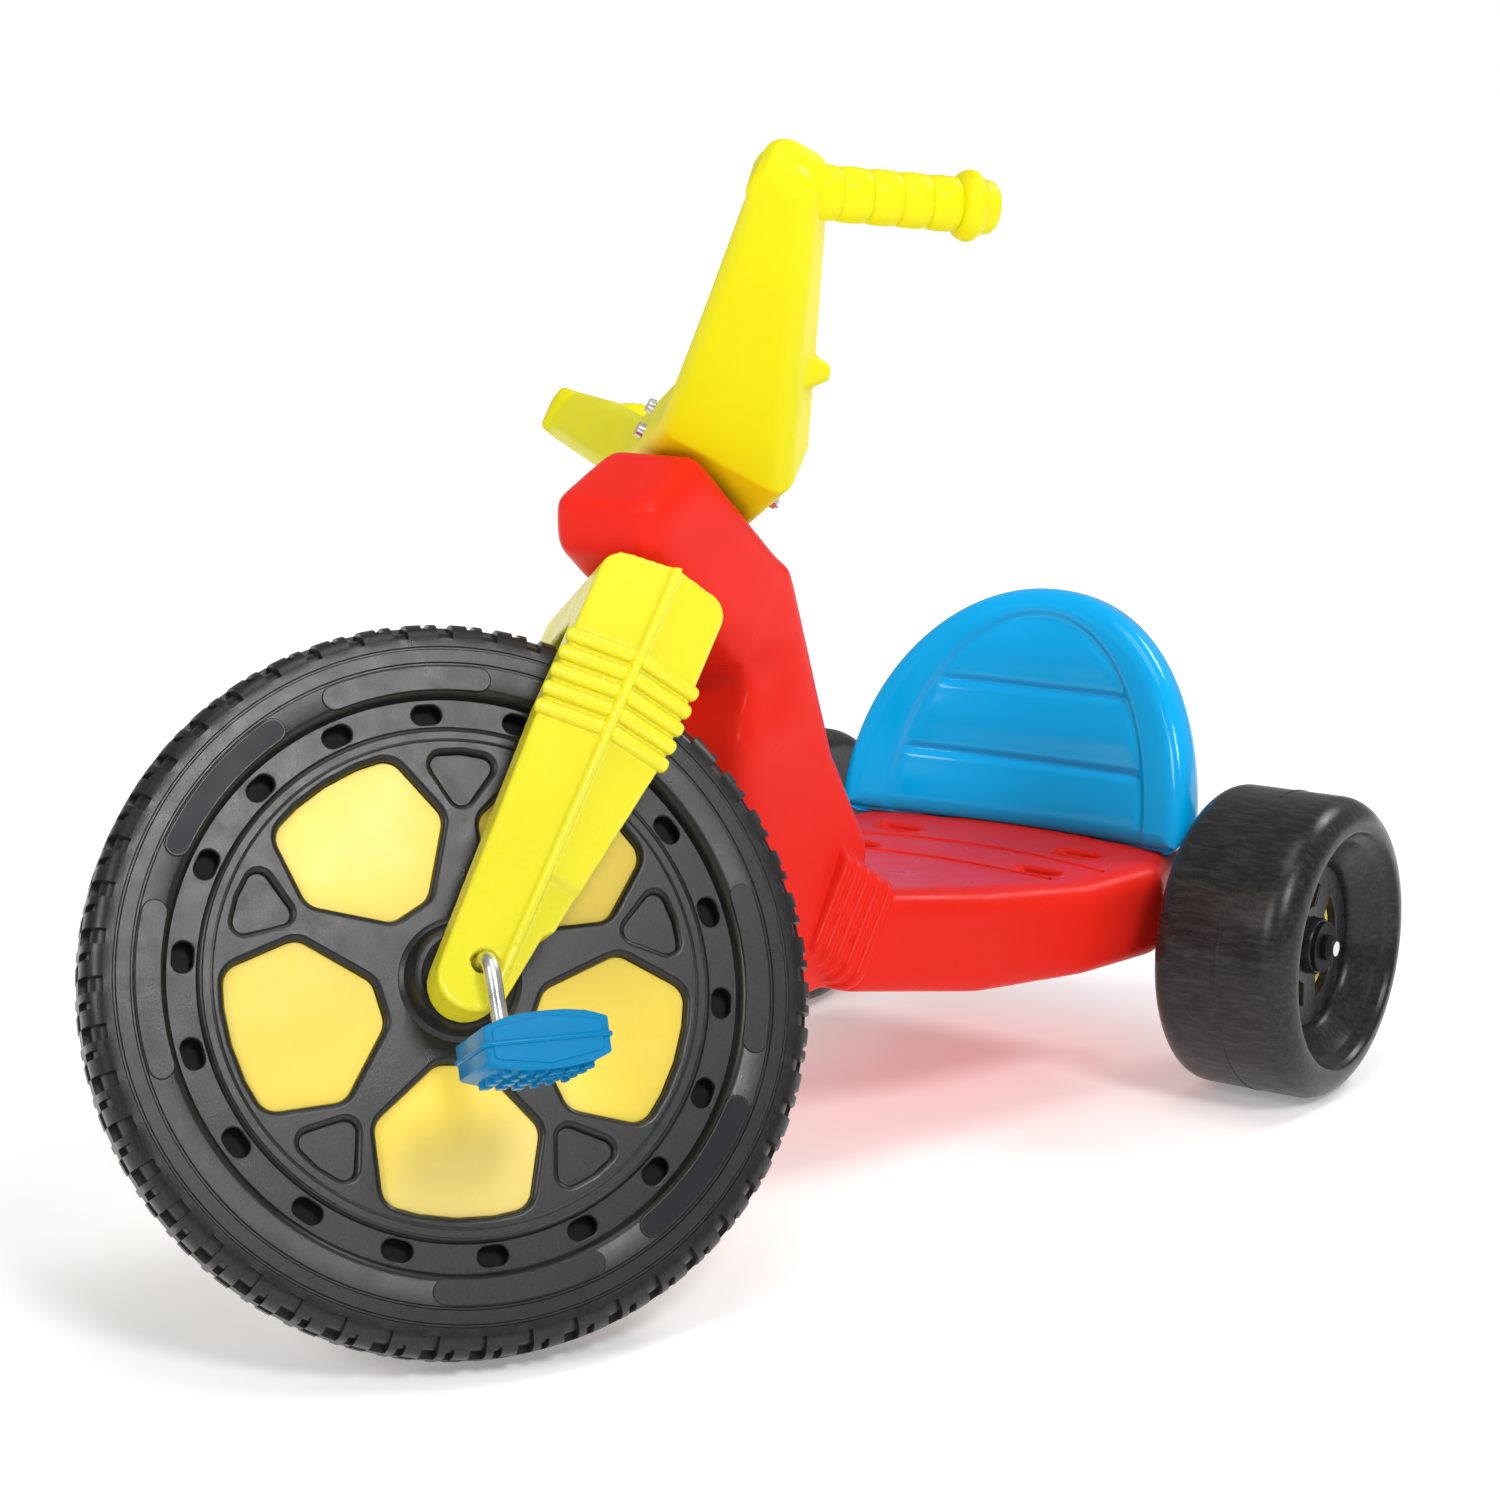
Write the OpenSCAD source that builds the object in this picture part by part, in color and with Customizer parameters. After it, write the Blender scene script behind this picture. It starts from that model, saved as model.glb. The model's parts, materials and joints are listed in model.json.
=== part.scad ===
// Low rider tricycle with a big front wheel, in millimetres
/* [Overall] */
// Distance from the rear axle to the steering axis at the front hub
wheelbase = 603; // [579:1:627]
// Lean of the steering axis, its top leaning to the rear
rake_angle = 40; // [39:0.5:41]
// How far the front end is turned to the rider's right
steer_angle = 42.5; // [40:0.5:45]
// How far every cut runs past the face that it opens
overrun = 1; // [0.95:0.05:1.05]
// Radial running clearance of a pin in its bore
fit_clearance = 0.06; // [0.03:0.01:0.09]
// Gap round a piece that drops into a pocket
seat_clearance = 0.3; // [0.2:0.05:0.4]

/* [Front wheel] */
// Outside radius of the big front wheel
tyre_radius = 203; // [195:1:211]
// Half the width of the front tyre
tyre_half_width = 23; // [22:0.5:24]
// Half the width of the flat tread band
tread_half_width = 14; // [13.4:0.1:14.6]
// How far the tread falls away at the shoulder
shoulder_drop = 5; // [4.8:0.1:5.2]
// Shoulder notches on each side
notch_count = 48; // [40:2:52]
// Width of a shoulder notch
notch_width = 9; // [8.6:0.1:9.4]
// Length of a shoulder notch along the radius
notch_length = 12; // [11.5:0.1:12.5]
// Depth of a shoulder notch into the sidewall
notch_depth = 5.5; // [5.3:0.1:5.7]
// Width of a cross groove in the tread band
tread_groove_width = 5; // [4.8:0.1:5.2]
// Depth of a cross groove in the tread band
tread_groove_depth = 5; // [4.8:0.1:5.2]
// Length of a cross groove in the tread band
tread_groove_length = 13; // [12.5:0.1:13.5]
// Radius where the sidewall steps down into the dish
sidewall_inner_radius = 157; // [151:1:163]
// Width of the sloping step into the dish
sidewall_step = 4; // [3.8:0.1:4.2]
// Depth of the dish below the sidewall
dish_depth = 5; // [4.8:0.1:5.2]
// Inner radius of the bare raised label pads
label_pad_inner = 162.5; // [161.5:0.5:163.5]
// Outer radius of the bare raised label pads
label_pad_outer = 175.5; // [174:0.5:177]
// Height of the label pads
label_pad_rise = 1.2; // [1.15:0.05:1.25]
// Angle that a label pad covers
label_pad_angle = 33; // [30:1:36]
// Angle between neighbouring label pads
label_pad_pitch = 41.5; // [40:0.5:43]
// Radius of the circle of vent holes
vent_circle = 150; // [144:1:156]
// Vent holes
vent_count = 18; // [16:2:20]
// Width of a vent hole
vent_width = 11; // [10.6:0.1:11.4]
// Length of a vent hole round the wheel
vent_length = 17; // [16.5:0.5:17.5]
// Depth of a vent hole
vent_depth = 14; // [13.4:0.1:14.6]
// Radius of the raised line inside the vent holes
rib_line_radius = 140; // [134:1:146]
// Width of that raised line
rib_line_width = 2; // [1.9:0.05:2.1]
// Yellow windows
window_count = 5; // [5:1:5]
// Radius of a window's corners next to the hub
window_inner = 47.5; // [45.5:1:49.5]
// Radius of a window's side corners
window_side = 92; // [88:1:96]
// Radius of a window's outer corners
window_outer = 128; // [123:1:133]
// Corner radius of a window
window_corner = 8; // [7.7:0.1:8.3]
// Depth of a window pocket
window_depth = 6; // [5.8:0.1:6.2]
// Radius of a small pocket's corner next to the hub
pocket_inner = 97; // [93:1:101]
// Radius of a small pocket's outer corners
pocket_outer = 127; // [122:1:132]
// Corner radius of a small pocket
pocket_corner = 5; // [4.8:0.1:5.2]
// Depth of a small pocket
pocket_depth = 4; // [3.8:0.1:4.2]
// Thickness of a yellow panel
panel_thick = 3; // [2.9:0.1:3.1]
// Radius of the front wheel's hub boss
hub_boss_radius = 28; // [27:0.5:29]
// Height of the hub boss above the dish
hub_boss_height = 12; // [11.5:0.1:12.5]
// Radius of the hub plates
hub_plate_radius = 24; // [23:0.5:25]
// Thickness of the hub plates
hub_plate_thick = 4; // [3.8:0.1:4.2]

/* [Crank and pedals] */
// Radius of the crank rod
crank_radius = 4.5; // [4.3:0.1:4.7]
// Bend radius of the crank rod
crank_bend = 10; // [9.6:0.1:10.4]
// Throw of the crank
crank_throw = 58; // [56:1:60]
// Angle of the left crank arm in the wheel
crank_angle = 237.5; // [230:0.5:245]
// Distance of the crank arms from the middle of the wheel
crank_reach = 86; // [83:1:89]
// Distance of the pedals from the middle of the wheel
pedal_offset = 140; // [134:1:146]
// How far the front end of a pedal is tipped up
pedal_tilt = 9.5; // [7:0.5:12]
// Width of a pedal along its spindle
pedal_width = 63; // [60:1:66]
// Length of a pedal in the riding direction
pedal_length = 64; // [61:1:67]
// Thickness of a pedal in the middle
pedal_thick = 30; // [29:0.5:31]
// Thickness of a pedal at its ends
pedal_end_thick = 20; // [19:0.5:21]
// Wall at the closed outer end of a pedal
pedal_wall = 8; // [7.7:0.1:8.3]
// How far the parting bead stands out
pedal_bead_out = 2.5; // [2.4:0.1:2.6]
// Thickness of the parting bead
pedal_bead_thick = 4; // [3.8:0.1:4.2]
// Size of a grip lug on the pedal
pedal_lug_size = 7; // [6.7:0.1:7.3]
// Height of a grip lug on the pedal
pedal_lug_rise = 3; // [2.9:0.1:3.1]

/* [Fork] */
// Distance from the wheel's middle to the inside of a fork leg
fork_inner = 36; // [34.5:0.5:37.5]
// How far the front hub stands in front of the steering axis
fork_offset = 11; // [10.6:0.1:11.4]
// Distance from the wheel's middle to the ridge of a fork leg
fork_outer = 78; // [75:1:81]
// Distance from the wheel's middle to the edge of a fork leg
fork_edge = 62; // [60:1:64]
// Height of the fork's crown above the hub along the steering axis
fork_top = 250; // [240:1:260]
// Gap between the tyre and the crown
fork_crown_gap = 8; // [7.7:0.1:8.3]
// Half the depth of the fork front to rear
fork_half_depth = 38; // [36.5:0.5:39.5]
// Half the depth of a fork leg's foot
fork_foot_half = 20; // [19:0.5:21]
// How far a fork leg reaches below the hub
fork_foot_drop = 28; // [27:0.5:29]
// Height where a fork leg starts to taper
fork_taper_from = 150; // [144:1:156]
// Corner radius at the crown's ends
fork_corner = 11; // [10.6:0.1:11.4]
// Width of the parting bead on a leg
fork_bead_width = 5; // [4.8:0.1:5.2]
// Height of the parting bead on a leg
fork_bead_rise = 3; // [2.9:0.1:3.1]
// Ribs on each half of a leg
fork_rib_count = 5; // [4:1:6]
// Radius of a fork rib
fork_rib_radius = 2.8; // [2.7:0.1:2.9]
// Distance between fork ribs
fork_rib_pitch = 11.4; // [10.9:0.1:11.9]
// Height of the topmost fork rib
fork_rib_top = 191; // [183:1:199]
// Slope of the fork ribs
fork_rib_slope = -2; // [-3:0.5:-1]
// Height of the step at the rear of a leg
fork_step_height = 33; // [31.5:0.5:34.5]
// Depth of the step at the rear of a leg
fork_step_depth = 5; // [4.8:0.1:5.2]
// Radius of the steering stem
stem_radius = 14; // [13.4:0.1:14.6]
// How far the stem reaches into the handlebar
stem_grip = 38; // [36.5:0.5:39.5]
// Outside radius of the thrust washers
washer_radius = 24; // [23:0.5:25]
// Thickness of the thrust washers
washer_thick = 2; // [1.9:0.05:2.1]
// Wall of the head bushes
bush_wall = 4; // [3.8:0.1:4.2]
// Length of a head bush
bush_length = 20; // [19:0.5:21]

/* [Handlebar] */
// Distance from the middle to the outer end of an arm
bar_half_width = 200; // [192:1:208]
// How far the handlebar is set off the front wheel's line
bar_twist = 2; // [0:0.5:3]
// Rise of an arm from the middle to its end
bar_rise = 81; // [78:1:84]
// Height of the handlebar's middle
bar_height = 46; // [44:1:48]
// Height of an arm's end
bar_end_height = 36; // [34.5:0.5:37.5]
// How far the handlebar's middle stands in front of the stem
bar_front = 38; // [36.5:0.5:39.5]
// How far the handlebar's middle stands behind the stem
bar_rear = 46; // [44:1:48]
// How far an arm's end stands in front of the stem
bar_end_front = 73; // [70:1:76]
// Distance of an arm end's rear edge in front of the stem
bar_end_rear = 34; // [32.5:0.5:35.5]
// Corner radius of the handlebar's section
bar_corner = 12; // [11.5:0.1:12.5]
// Rounding length at an arm's end
bar_cap = 11; // [10.6:0.1:11.4]
// Radius of a grip
grip_radius = 14.5; // [13.9:0.1:15.1]
// Length of a grip
grip_length = 112; // [108:1:116]
// Angle of a grip above the steering plane
grip_rise = 26; // [23:1:29]
// Segments of a grip
grip_ring_count = 5; // [4:1:6]
// Depth of the grooves between grip segments
grip_groove = 1.2; // [1.15:0.05:1.25]
// Radius of a grip's end flange
grip_flange_radius = 18.5; // [18:0.5:19]
// Length of a grip's end flange
grip_flange_length = 11; // [10.6:0.1:11.4]
// Base radius of the cone on an arm's rear edge
boss_radius = 13; // [12.5:0.1:13.5]
// Tip radius of that cone
boss_tip_radius = 5; // [4.8:0.1:5.2]
// Length of that cone
boss_length = 17; // [16.5:0.5:17.5]
// Radius of the handlebar bolts
bolt_radius = 3; // [2.9:0.1:3.1]
// Radius of the bolt heads and nuts
bolt_head_radius = 4.8; // [4.6:0.1:5]
// Thickness of the bolt heads and nuts
bolt_head_thick = 4; // [3.8:0.1:4.2]
// Height of the lower bolt above the handlebar's underside
bolt_low = 19; // [18:0.5:20]
// Distance between the two bolts
bolt_pitch = 17; // [16.5:0.5:17.5]

/* [Body] */
// Radius of the head bushes' flanges
bush_flange = 23; // [22:0.5:24]
// Height of the head
head_height = 75; // [72:1:78]
// How far the head reaches behind the stem
head_rear = 74; // [71:1:77]
// How far the head's nose reaches in front of the stem
head_front = 71; // [68:1:74]
// Half the width of the head
head_half_width = 38; // [36.5:0.5:39.5]
// Bevel at the head's edges
head_bevel = 9; // [8.6:0.1:9.4]
// Height of the neck's underside above the ground
neck_base = 125; // [120:1:130]
// Height of the neck
neck_height = 167; // [160:1:174]
// Distance of the neck's lower rear edge in front of the rear axle
neck_x = 268; // [257:1:279]
// Depth of the neck front to rear
neck_depth = 128; // [123:1:133]
// Half the width of the neck at its foot
neck_half_width = 56; // [54:1:58]
// Corner radius of the neck
neck_corner = 11; // [10.6:0.1:11.4]
// Radius of the dents in the neck's sides
dent_radius = 60; // [58:1:62]
// Depth of the dents in the neck's sides
dent_depth = 8; // [7.7:0.1:8.3]
// Distance of the dents in front of the neck's lower rear edge
dent_ahead = 94; // [90:1:98]
// Height of the dents above the ground
dent_z = 322; // [309:1:335]
// Height of the pan's top above the ground
pan_top = 153; // [147:1:159]
// Thickness of the pan
pan_thick = 64; // [61:1:67]
// How far the pan rises to the neck at its front end
pan_rise = 24; // [23:0.5:25]
// Distance of the pan's front end from the rear axle
pan_front = 285; // [274:1:296]
// Half the width of the pan at its widest place
pan_half_width = 137; // [132:1:142]
// How far the pan reaches behind the rear axle
pan_tail = 62; // [60:1:64]
// Corner radius of the pan's outline
pan_corner = 16; // [15.5:0.5:16.5]
// Width of the contour lines on the pan
pan_line_width = 2; // [1.9:0.05:2.1]
// Depth of the contour lines on the pan
pan_line_depth = 1; // [0.95:0.05:1.05]
// Distance of the first contour line in front of the rear axle
pan_line_x = 55; // [53:1:57]
// Radius of the contour lines on the pan
pan_line_radius = 315; // [302:1:328]
// Distance between the contour lines on the pan
pan_line_pitch = 46; // [44:1:48]
// Depth of the step that the seat back stands in
pan_ledge = 1; // [0.6:0.1:1.4]
// Ribs of the bellows between neck and pan
bellows_count = 5; // [4:1:5]
// Distance between the bellows ribs
bellows_pitch = 9; // [8.6:0.1:9.4]
// Thickness of a bellows rib
bellows_thick = 5.5; // [5.3:0.1:5.7]
// Length of a bellows rib down the side
bellows_length = 76; // [73:1:79]
// How far a bellows rib stands out
bellows_out = 4; // [3.8:0.1:4.2]
// Distance of the first bellows rib in front of the neck's lower rear edge
bellows_ahead = 59; // [57:1:61]
// Height of the first bellows rib above the ground
bellows_z = 179; // [172:1:186]
// Tilt of the bellows ribs
bellows_tilt = 40; // [38:1:42]
// Distance of the middle slot pair from the rear axle
slot_x = 40; // [38:1:42]
// Distance between slot pairs
slot_pitch = 57; // [55:1:59]
// Distance of a slot from the middle
slot_y = 72; // [69:1:75]
// Half the width of a slot
slot_radius = 7; // [6.7:0.1:7.3]
// Length of a slot from side to side
slot_length = 30; // [29:0.5:31]
// Depth of a slot
slot_depth = 30; // [29:0.5:31]

/* [Seat] */
// Half the width of the seat back
seat_half_width = 133; // [128:1:138]
// Height of the seat back
seat_height = 169; // [162:1:176]
// Thickness of the seat back
seat_thick = 38; // [36.5:0.5:39.5]
// Radius of the seat back's hollow front
seat_curve = 364; // [349:1:379]
// Distance of the seat's middle front behind the rear axle
seat_front = 5; // [4:0.5:6]
// Lean of the seat back to the rear
seat_lean = 12; // [10:1:14]
// Width of the raised rim at the top
seat_rim = 18; // [17.5:0.5:18.5]
// Width of the raised rim at the sides
seat_side_rim = 35; // [33.5:0.5:36.5]
// Width of the grooves in the seat back
seat_groove_width = 4; // [3.8:0.1:4.2]
// Depth of the grooves in the seat back
seat_groove_depth = 3; // [2.9:0.1:3.1]
// Height of the lower groove
seat_groove_low = 45; // [43:1:47]
// Height of the upper groove
seat_groove_high = 97; // [93:1:101]
// How far the seat's lugs reach into the slots
seat_lug_depth = 26; // [25:0.5:27]

/* [Rear wheels] */
// Outside radius of a rear wheel
rear_radius = 102; // [98:1:106]
// Distance of a rear wheel's inner face from the middle
rear_inner = 158; // [152:1:164]
// Width of a rear wheel
rear_width = 99; // [95:1:103]
// Rounding of a rear wheel's inner shoulder
rear_shoulder = 15; // [14.5:0.5:15.5]
// Rounding of a rear wheel's outer shoulder
rear_outer_shoulder = 20; // [19:0.5:21]
// Width of the mould line on the tread
rear_line_width = 1.5; // [1.45:0.05:1.55]
// Height of the mould line on the tread
rear_line_rise = 0.6; // [0.5:0.1:0.8]
// Radius of a rear wheel's dish
rear_dish_radius = 80; // [77:1:83]
// Depth of a rear wheel's dish
rear_dish_depth = 25; // [24:0.5:26]
// Radius of the flat floor of a rear wheel's dish
rear_floor_radius = 55; // [53:1:57]
// How far a rear wheel's hub lies behind its outer face
rear_hub_drop = 21; // [20:0.5:22]
// Radius of a rear wheel's hub
rear_hub_radius = 19; // [18:0.5:20]
// Inner radius of a rear wheel's windows
rear_window_inner = 30; // [29:0.5:31]
// Outer radius of a rear wheel's windows
rear_window_outer = 46; // [44:1:48]
// Depth of a rear wheel's windows
rear_window_depth = 6; // [5.8:0.1:6.2]
// Width of a rear wheel's spokes
rear_spoke_width = 19; // [18:0.5:20]
// Radius of a rear wheel's bushes
rear_bush_radius = 12; // [11.5:0.1:12.5]
// Radius of the bush flanges
rear_bush_flange = 17; // [16.5:0.5:17.5]
// Thickness of the bush flanges
rear_bush_thick = 3; // [2.9:0.1:3.1]
// Length of a rear bush
rear_bush_length = 16; // [15.5:0.5:16.5]
// Radius of the rear axle
axle_radius = 5; // [4.8:0.1:5.2]
// Radius of the rear axle caps
axle_cap_radius = 9; // [8.6:0.1:9.4]
// Length of the rear axle caps
axle_cap_length = 9; // [8.6:0.1:9.4]
// Depth of the axle's seat in a cap
axle_cap_seat = 7; // [6.7:0.1:7.3]
// Radius of the spacers on the rear axle
spacer_radius = 15; // [14.5:0.5:15.5]
// Free play beside a turning piece
running_gap = 0.5; // [0.4:0.1:0.6]

/* [Hidden] */
$fn = 64;
colour_red = [0.91, 0.14, 0.12];
colour_blue = [0.0, 0.55, 0.86];
colour_yellow = [0.94, 0.9, 0.1];
colour_panel = [0.98, 0.86, 0.36];
colour_black = [0.2, 0.2, 0.21];
colour_steel = [0.76, 0.77, 0.78];

// Where the turned and leaning front wheel stands
axle_sin_z = sin(steer_angle) * sin(rake_angle);
axle_sin_x = sin(steer_angle) * cos(rake_angle);
axle_cos_z = sqrt(1 - axle_sin_z * axle_sin_z);
axle_cos_x = sqrt(1 - axle_sin_x * axle_sin_x);
hub_z = tyre_radius * axle_cos_z + tread_half_width * axle_sin_z;
pivot_z = hub_z - fork_offset * cos(steer_angle) * sin(rake_angle);
hub_x = wheelbase + fork_offset * cos(steer_angle) * cos(rake_angle);
axle_z = rear_radius + rear_line_rise;
front_end = hub_x + tyre_radius * axle_cos_x + tread_half_width * axle_sin_x;
middle_x = (front_end - axle_z) / 2;

// Heights along the steering axis, counted from the front hub
head_low = fork_top + 2 * washer_thick + running_gap;
head_top = head_low + head_height;
bar_low = head_top + washer_thick + running_gap;
bush_radius = stem_radius + bush_wall;
dish_z = tyre_half_width - dish_depth;
hub_face = dish_z + hub_boss_height;
spindle_end = pedal_offset + pedal_width / 2 - pedal_wall - running_gap;
wheel_end = rear_inner + rear_width;
hub_end = wheel_end - rear_hub_drop;
pan_low = pan_top - pan_thick;
tunnel_half = pan_half_width + 2 * bush_wall;

// Phases of the front wheel's pattern in the photo
vent_phase = 0.6;
window_phase = 41;
label_phase = -14;
window_inner_angle = 14.5;
window_side_angle = 30;
window_outer_angle = 17.5;
pocket_angle = 10;
line_half_angle = 20;

// Outlines as shares of the sizes above
head_shares = [[0, 0], [0.87, 0], [1, 0.3], [0.82, 1], [0, 1]];
neck_z_shares = [0, 0.15, 0.48, 0.82];
neck_rear_shares = [0.25, 0.12, 0, 0.17];
neck_front_shares = [0.64, 0.91, 1, 1.03];
neck_width_shares = [0.89, 1, 0.89, 0.71];
pan_x_shares = [0.14, 0.37, 0.67, 1];
pan_width_shares = [1, 0.89, 0.68, 0.38];
pan_rise_shares = [0, 0, 0.4, 1];
pan_low_shares = [0, 0, 0.2, 0.9];
pan_tail_share = 0.82;
bar_y_shares = [0.22, 0.6, 1];
bar_rise_shares = [0.03, 0.5, 1];
bar_front_shares = [0.06, 0.5, 1];
bar_rear_shares = [0, 0.5, 1];
bar_height_shares = [0, 0.1, 1];
tail_share = 0.88;
bellows_width_shares = [1, 1.05, 1.1, 1.16, 1.22];
boss_share = 0.46;
cap_inset_share = 0.3;
cap_out_share = 0.75;
boss_rise_share = 0.4;
grip_root_share = 0.21;
dome_power = 0.97;
arc_steps = 6;

// Frames: the row, the raked steering frame, the turned front end and the front wheel
module in_row() {
    translate([-middle_x, 0, 0]) children();
}
module raked() {
    in_row() translate([wheelbase, 0, pivot_z]) rotate([0, -rake_angle, 0]) children();
}
module turned() {
    raked() rotate([0, 0, -steer_angle]) children();
}
module on_bar() {
    turned() rotate([0, 0, bar_twist]) children();
}
module in_wheel() {
    turned() translate([fork_offset, 0, 0]) rotate([-90, 0, 0]) children();
}
module on_rear(side) {
    in_row() translate([0, 0, axle_z]) rotate([-90 * side, 0, 0]) children();
}

// Shapes that several pieces share
function arc_pts(c, r, from, to, n) =
    [for (k = [0 : n]) [c[0] + r * cos(from + (to - from) * k / n), c[1] + r * sin(from + (to - from)
        * k / n)]];
function polar(r, a) = [r * cos(a), r * sin(a)];
function round_poly(p, r) =
    [for (i = [0 : len(p) - 1])
        let(n = len(p), b = p[i], u = p[(i + n - 1) % n] - b, v = p[(i + 1) % n] - b, s = u / norm(u),
            e = v / norm(v),
            half = acos(s * e) / 2, m = b + (s + e) / norm(s + e) * r / sin(half),
                f = b + s * r / tan(half) - m,
            g = b + e * r / tan(half) - m, from = atan2(f[1], f[0]), turn = (atan2(g[1], g[0])
                - from + 540) % 360 - 180)
        for (k = [0 : arc_steps]) m + polar(r, from + turn * k / arc_steps)];
function stadium(len, r) =
    concat(arc_pts([len / 2 - r, 0], r, -90, 90, 2 * arc_steps), arc_pts([r - len / 2, 0], r, 90, 270,
        2 * arc_steps));
function round_rect(x0, x1, y0, y1, r) =
    concat(arc_pts([x1 - r, y1 - r], r, 0, 90, arc_steps), arc_pts([x0 + r, y1 - r], r, 90, 180, arc_steps),
        arc_pts([x0 + r, y0 + r], r, 180, 270, arc_steps), arc_pts([x1 - r, y0 + r], r, 270, 360,
            arc_steps));
function sector_pts(r0, r1, gap, span) =
    let(h0 = span / 2 - asin(gap / 2 / r0), h1 = span / 2 - asin(gap / 2 / r1))
    concat(arc_pts([0, 0], r1, -h1, h1, arc_steps), arc_pts([0, 0], r0, h0, -h0, arc_steps));
function dome_pts(w, h, drop) =
    concat([[w, -drop]], [for (k = [0 : 5 : 180])
        [w * sign(cos(k)) * pow(abs(cos(k)), dome_power), h * pow(sin(k), dome_power)]], [[-w, -drop]]);
function mix(a, b, t) = a + (b - a) * t;
module rod(p, q, r) {
    d = q - p;
    translate(p) rotate([0, acos(d[2] / norm(d)), atan2(d[1], d[0])]) cylinder(r = r, h = norm(d));
}
module ring(r_out, r_in, h) {
    difference() {
        cylinder(r = r_out, h = h);
        translate([0, 0, -overrun]) cylinder(r = r_in, h = h + 2 * overrun);
    }
}
module side_plate(half, pts) {
    rotate([90, 0, 0]) linear_extrude(height = 2 * half, center = true) polygon(pts);
}

// Body shell: head, neck, bellows and pan in one blow moulding
function head_pts(inset) = [for (s = head_shares)
    [mix(inset - head_rear, head_front - inset, s[0]), mix(head_low + inset, head_top - inset, s[1])]];
module neck_station(i) {
    z = neck_base + neck_height * neck_z_shares[i];
    w = neck_half_width * neck_width_shares[i];
    translate([0, 0, z]) linear_extrude(height = overrun) polygon(round_rect(
        neck_x + neck_depth * neck_rear_shares[i], neck_x + neck_depth * neck_front_shares[i], -w, w,
            neck_corner));
}
module neck_top() {
    translate([-head_rear - overrun, 0, head_low]) rotate([0, 90, 0]) rotate([0, 0, 90])
        linear_extrude(height = head_bevel)
        polygon(round_rect(overrun - head_half_width, head_half_width - overrun, overrun,
            head_height - overrun,
            head_bevel / 2));
}
module pan_plate(x, w, rise, low) {
    translate([x, 0, 0]) rotate([90, 0, 90]) linear_extrude(height = overrun)
        polygon(round_rect(-w, w, pan_low + low, pan_top + rise, pan_corner));
}
module pan_station(i) {
    pan_plate(pan_front * pan_x_shares[i], pan_half_width * pan_width_shares[i],
        pan_rise * pan_rise_shares[i],
        pan_rise * pan_low_shares[i]);
}
module bellows_rib(i) {
    w = neck_half_width * bellows_width_shares[i] + bellows_out;
    translate([neck_x + bellows_ahead - i * bellows_pitch * cos(bellows_tilt), 0,
        bellows_z - i * bellows_pitch * sin(bellows_tilt)])
        rotate([0, 90 - bellows_tilt, 0]) linear_extrude(height = bellows_thick, center = true)
        polygon(round_rect(-bellows_length / 2, bellows_length / 2, -w, w, neck_corner));
}
module seat_slots(grow, top, depth) {
    for (side = [-1, 1])
        translate([0, side * slot_y, top - depth]) rotate([0, 0, 90]) linear_extrude(height = depth)
            polygon(stadium(slot_length + 2 * grow, slot_radius + grow));
}
module body_shell() {
    color(colour_red) difference() {
        union() {
            raked() hull() {
                side_plate(head_half_width - head_bevel, head_pts(0));
                side_plate(head_half_width, head_pts(head_bevel));
            }
            hull() {
                in_row() neck_station(3);
                raked() neck_top();
            }
            in_row() {
                for (i = [0 : 2]) hull() {
                    neck_station(i);
                    neck_station(i + 1);
                }
                hull() {
                    pan_plate(-pan_tail, pan_half_width * pan_tail_share, 0, 0);
                    pan_station(0);
                    pan_station(1);
                }
                hull() for (i = [1 : 3]) pan_station(i);
                for (i = [0 : bellows_count - 1]) bellows_rib(i);
                translate([0, 0, axle_z]) rotate([90, 0, 0])
                    cylinder(r = spacer_radius + bush_wall, h = 2 * tunnel_half, center = true);
            }
        }
        raked() translate([0, 0, head_low - overrun])
            cylinder(r = bush_radius + seat_clearance, h = head_height + 2 * overrun);
        raked() translate([0, 0, fork_taper_from]) cylinder(r = fork_outer + 2 * bush_wall + fork_bead_rise,
            h = head_low - running_gap - fork_taper_from);
        raked() sphere(r = tyre_radius + fork_crown_gap, $fn = 96);
        in_row() for (side = [-1, 1])
            translate([neck_x + dent_ahead,
                side * (neck_half_width * neck_width_shares[3] + dent_radius - dent_depth), dent_z])
                sphere(r = dent_radius);
        in_row() translate([0, 0, axle_z]) rotate([90, 0, 0])
            cylinder(r = axle_radius + fit_clearance, h = 3 * tunnel_half, center = true);
        in_row() for (i = [-1 : 1]) translate([slot_x + i * slot_pitch, 0, 0])
            seat_slots(0, pan_top + overrun, slot_depth + overrun);
        in_row() for (i = [0, 1]) translate([pan_line_x + pan_line_radius + i * pan_line_pitch, 0, pan_top])
            rotate([0, 0, 180 - line_half_angle]) rotate_extrude(angle = 2 * line_half_angle)
            translate([pan_line_radius, -pan_line_depth]) square([pan_line_width,
                pan_line_depth + pan_rise]);
        in_row() difference() {
            translate([-pan_tail - 2 * overrun, -pan_half_width - overrun, pan_top - pan_ledge])
                cube([2 * pan_tail, 2 * (pan_half_width + overrun), pan_ledge + overrun]);
            translate([seat_curve - seat_front, 0, pan_top - pan_ledge - overrun])
                cylinder(r = seat_curve - 2 * seat_clearance, h = pan_ledge + 3 * overrun, $fn = 96);
        }
    }
}
module head_bush(flip) {
    mirror([0, 0, flip]) difference() {
        union() {
            cylinder(r = bush_flange, h = washer_thick);
            translate([0, 0, -bush_length]) cylinder(r = bush_radius, h = bush_length + washer_thick);
        }
        translate([0, 0, -bush_length - overrun])
            cylinder(r = stem_radius + fit_clearance, h = bush_length + washer_thick + 2 * overrun);
    }
}
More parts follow.
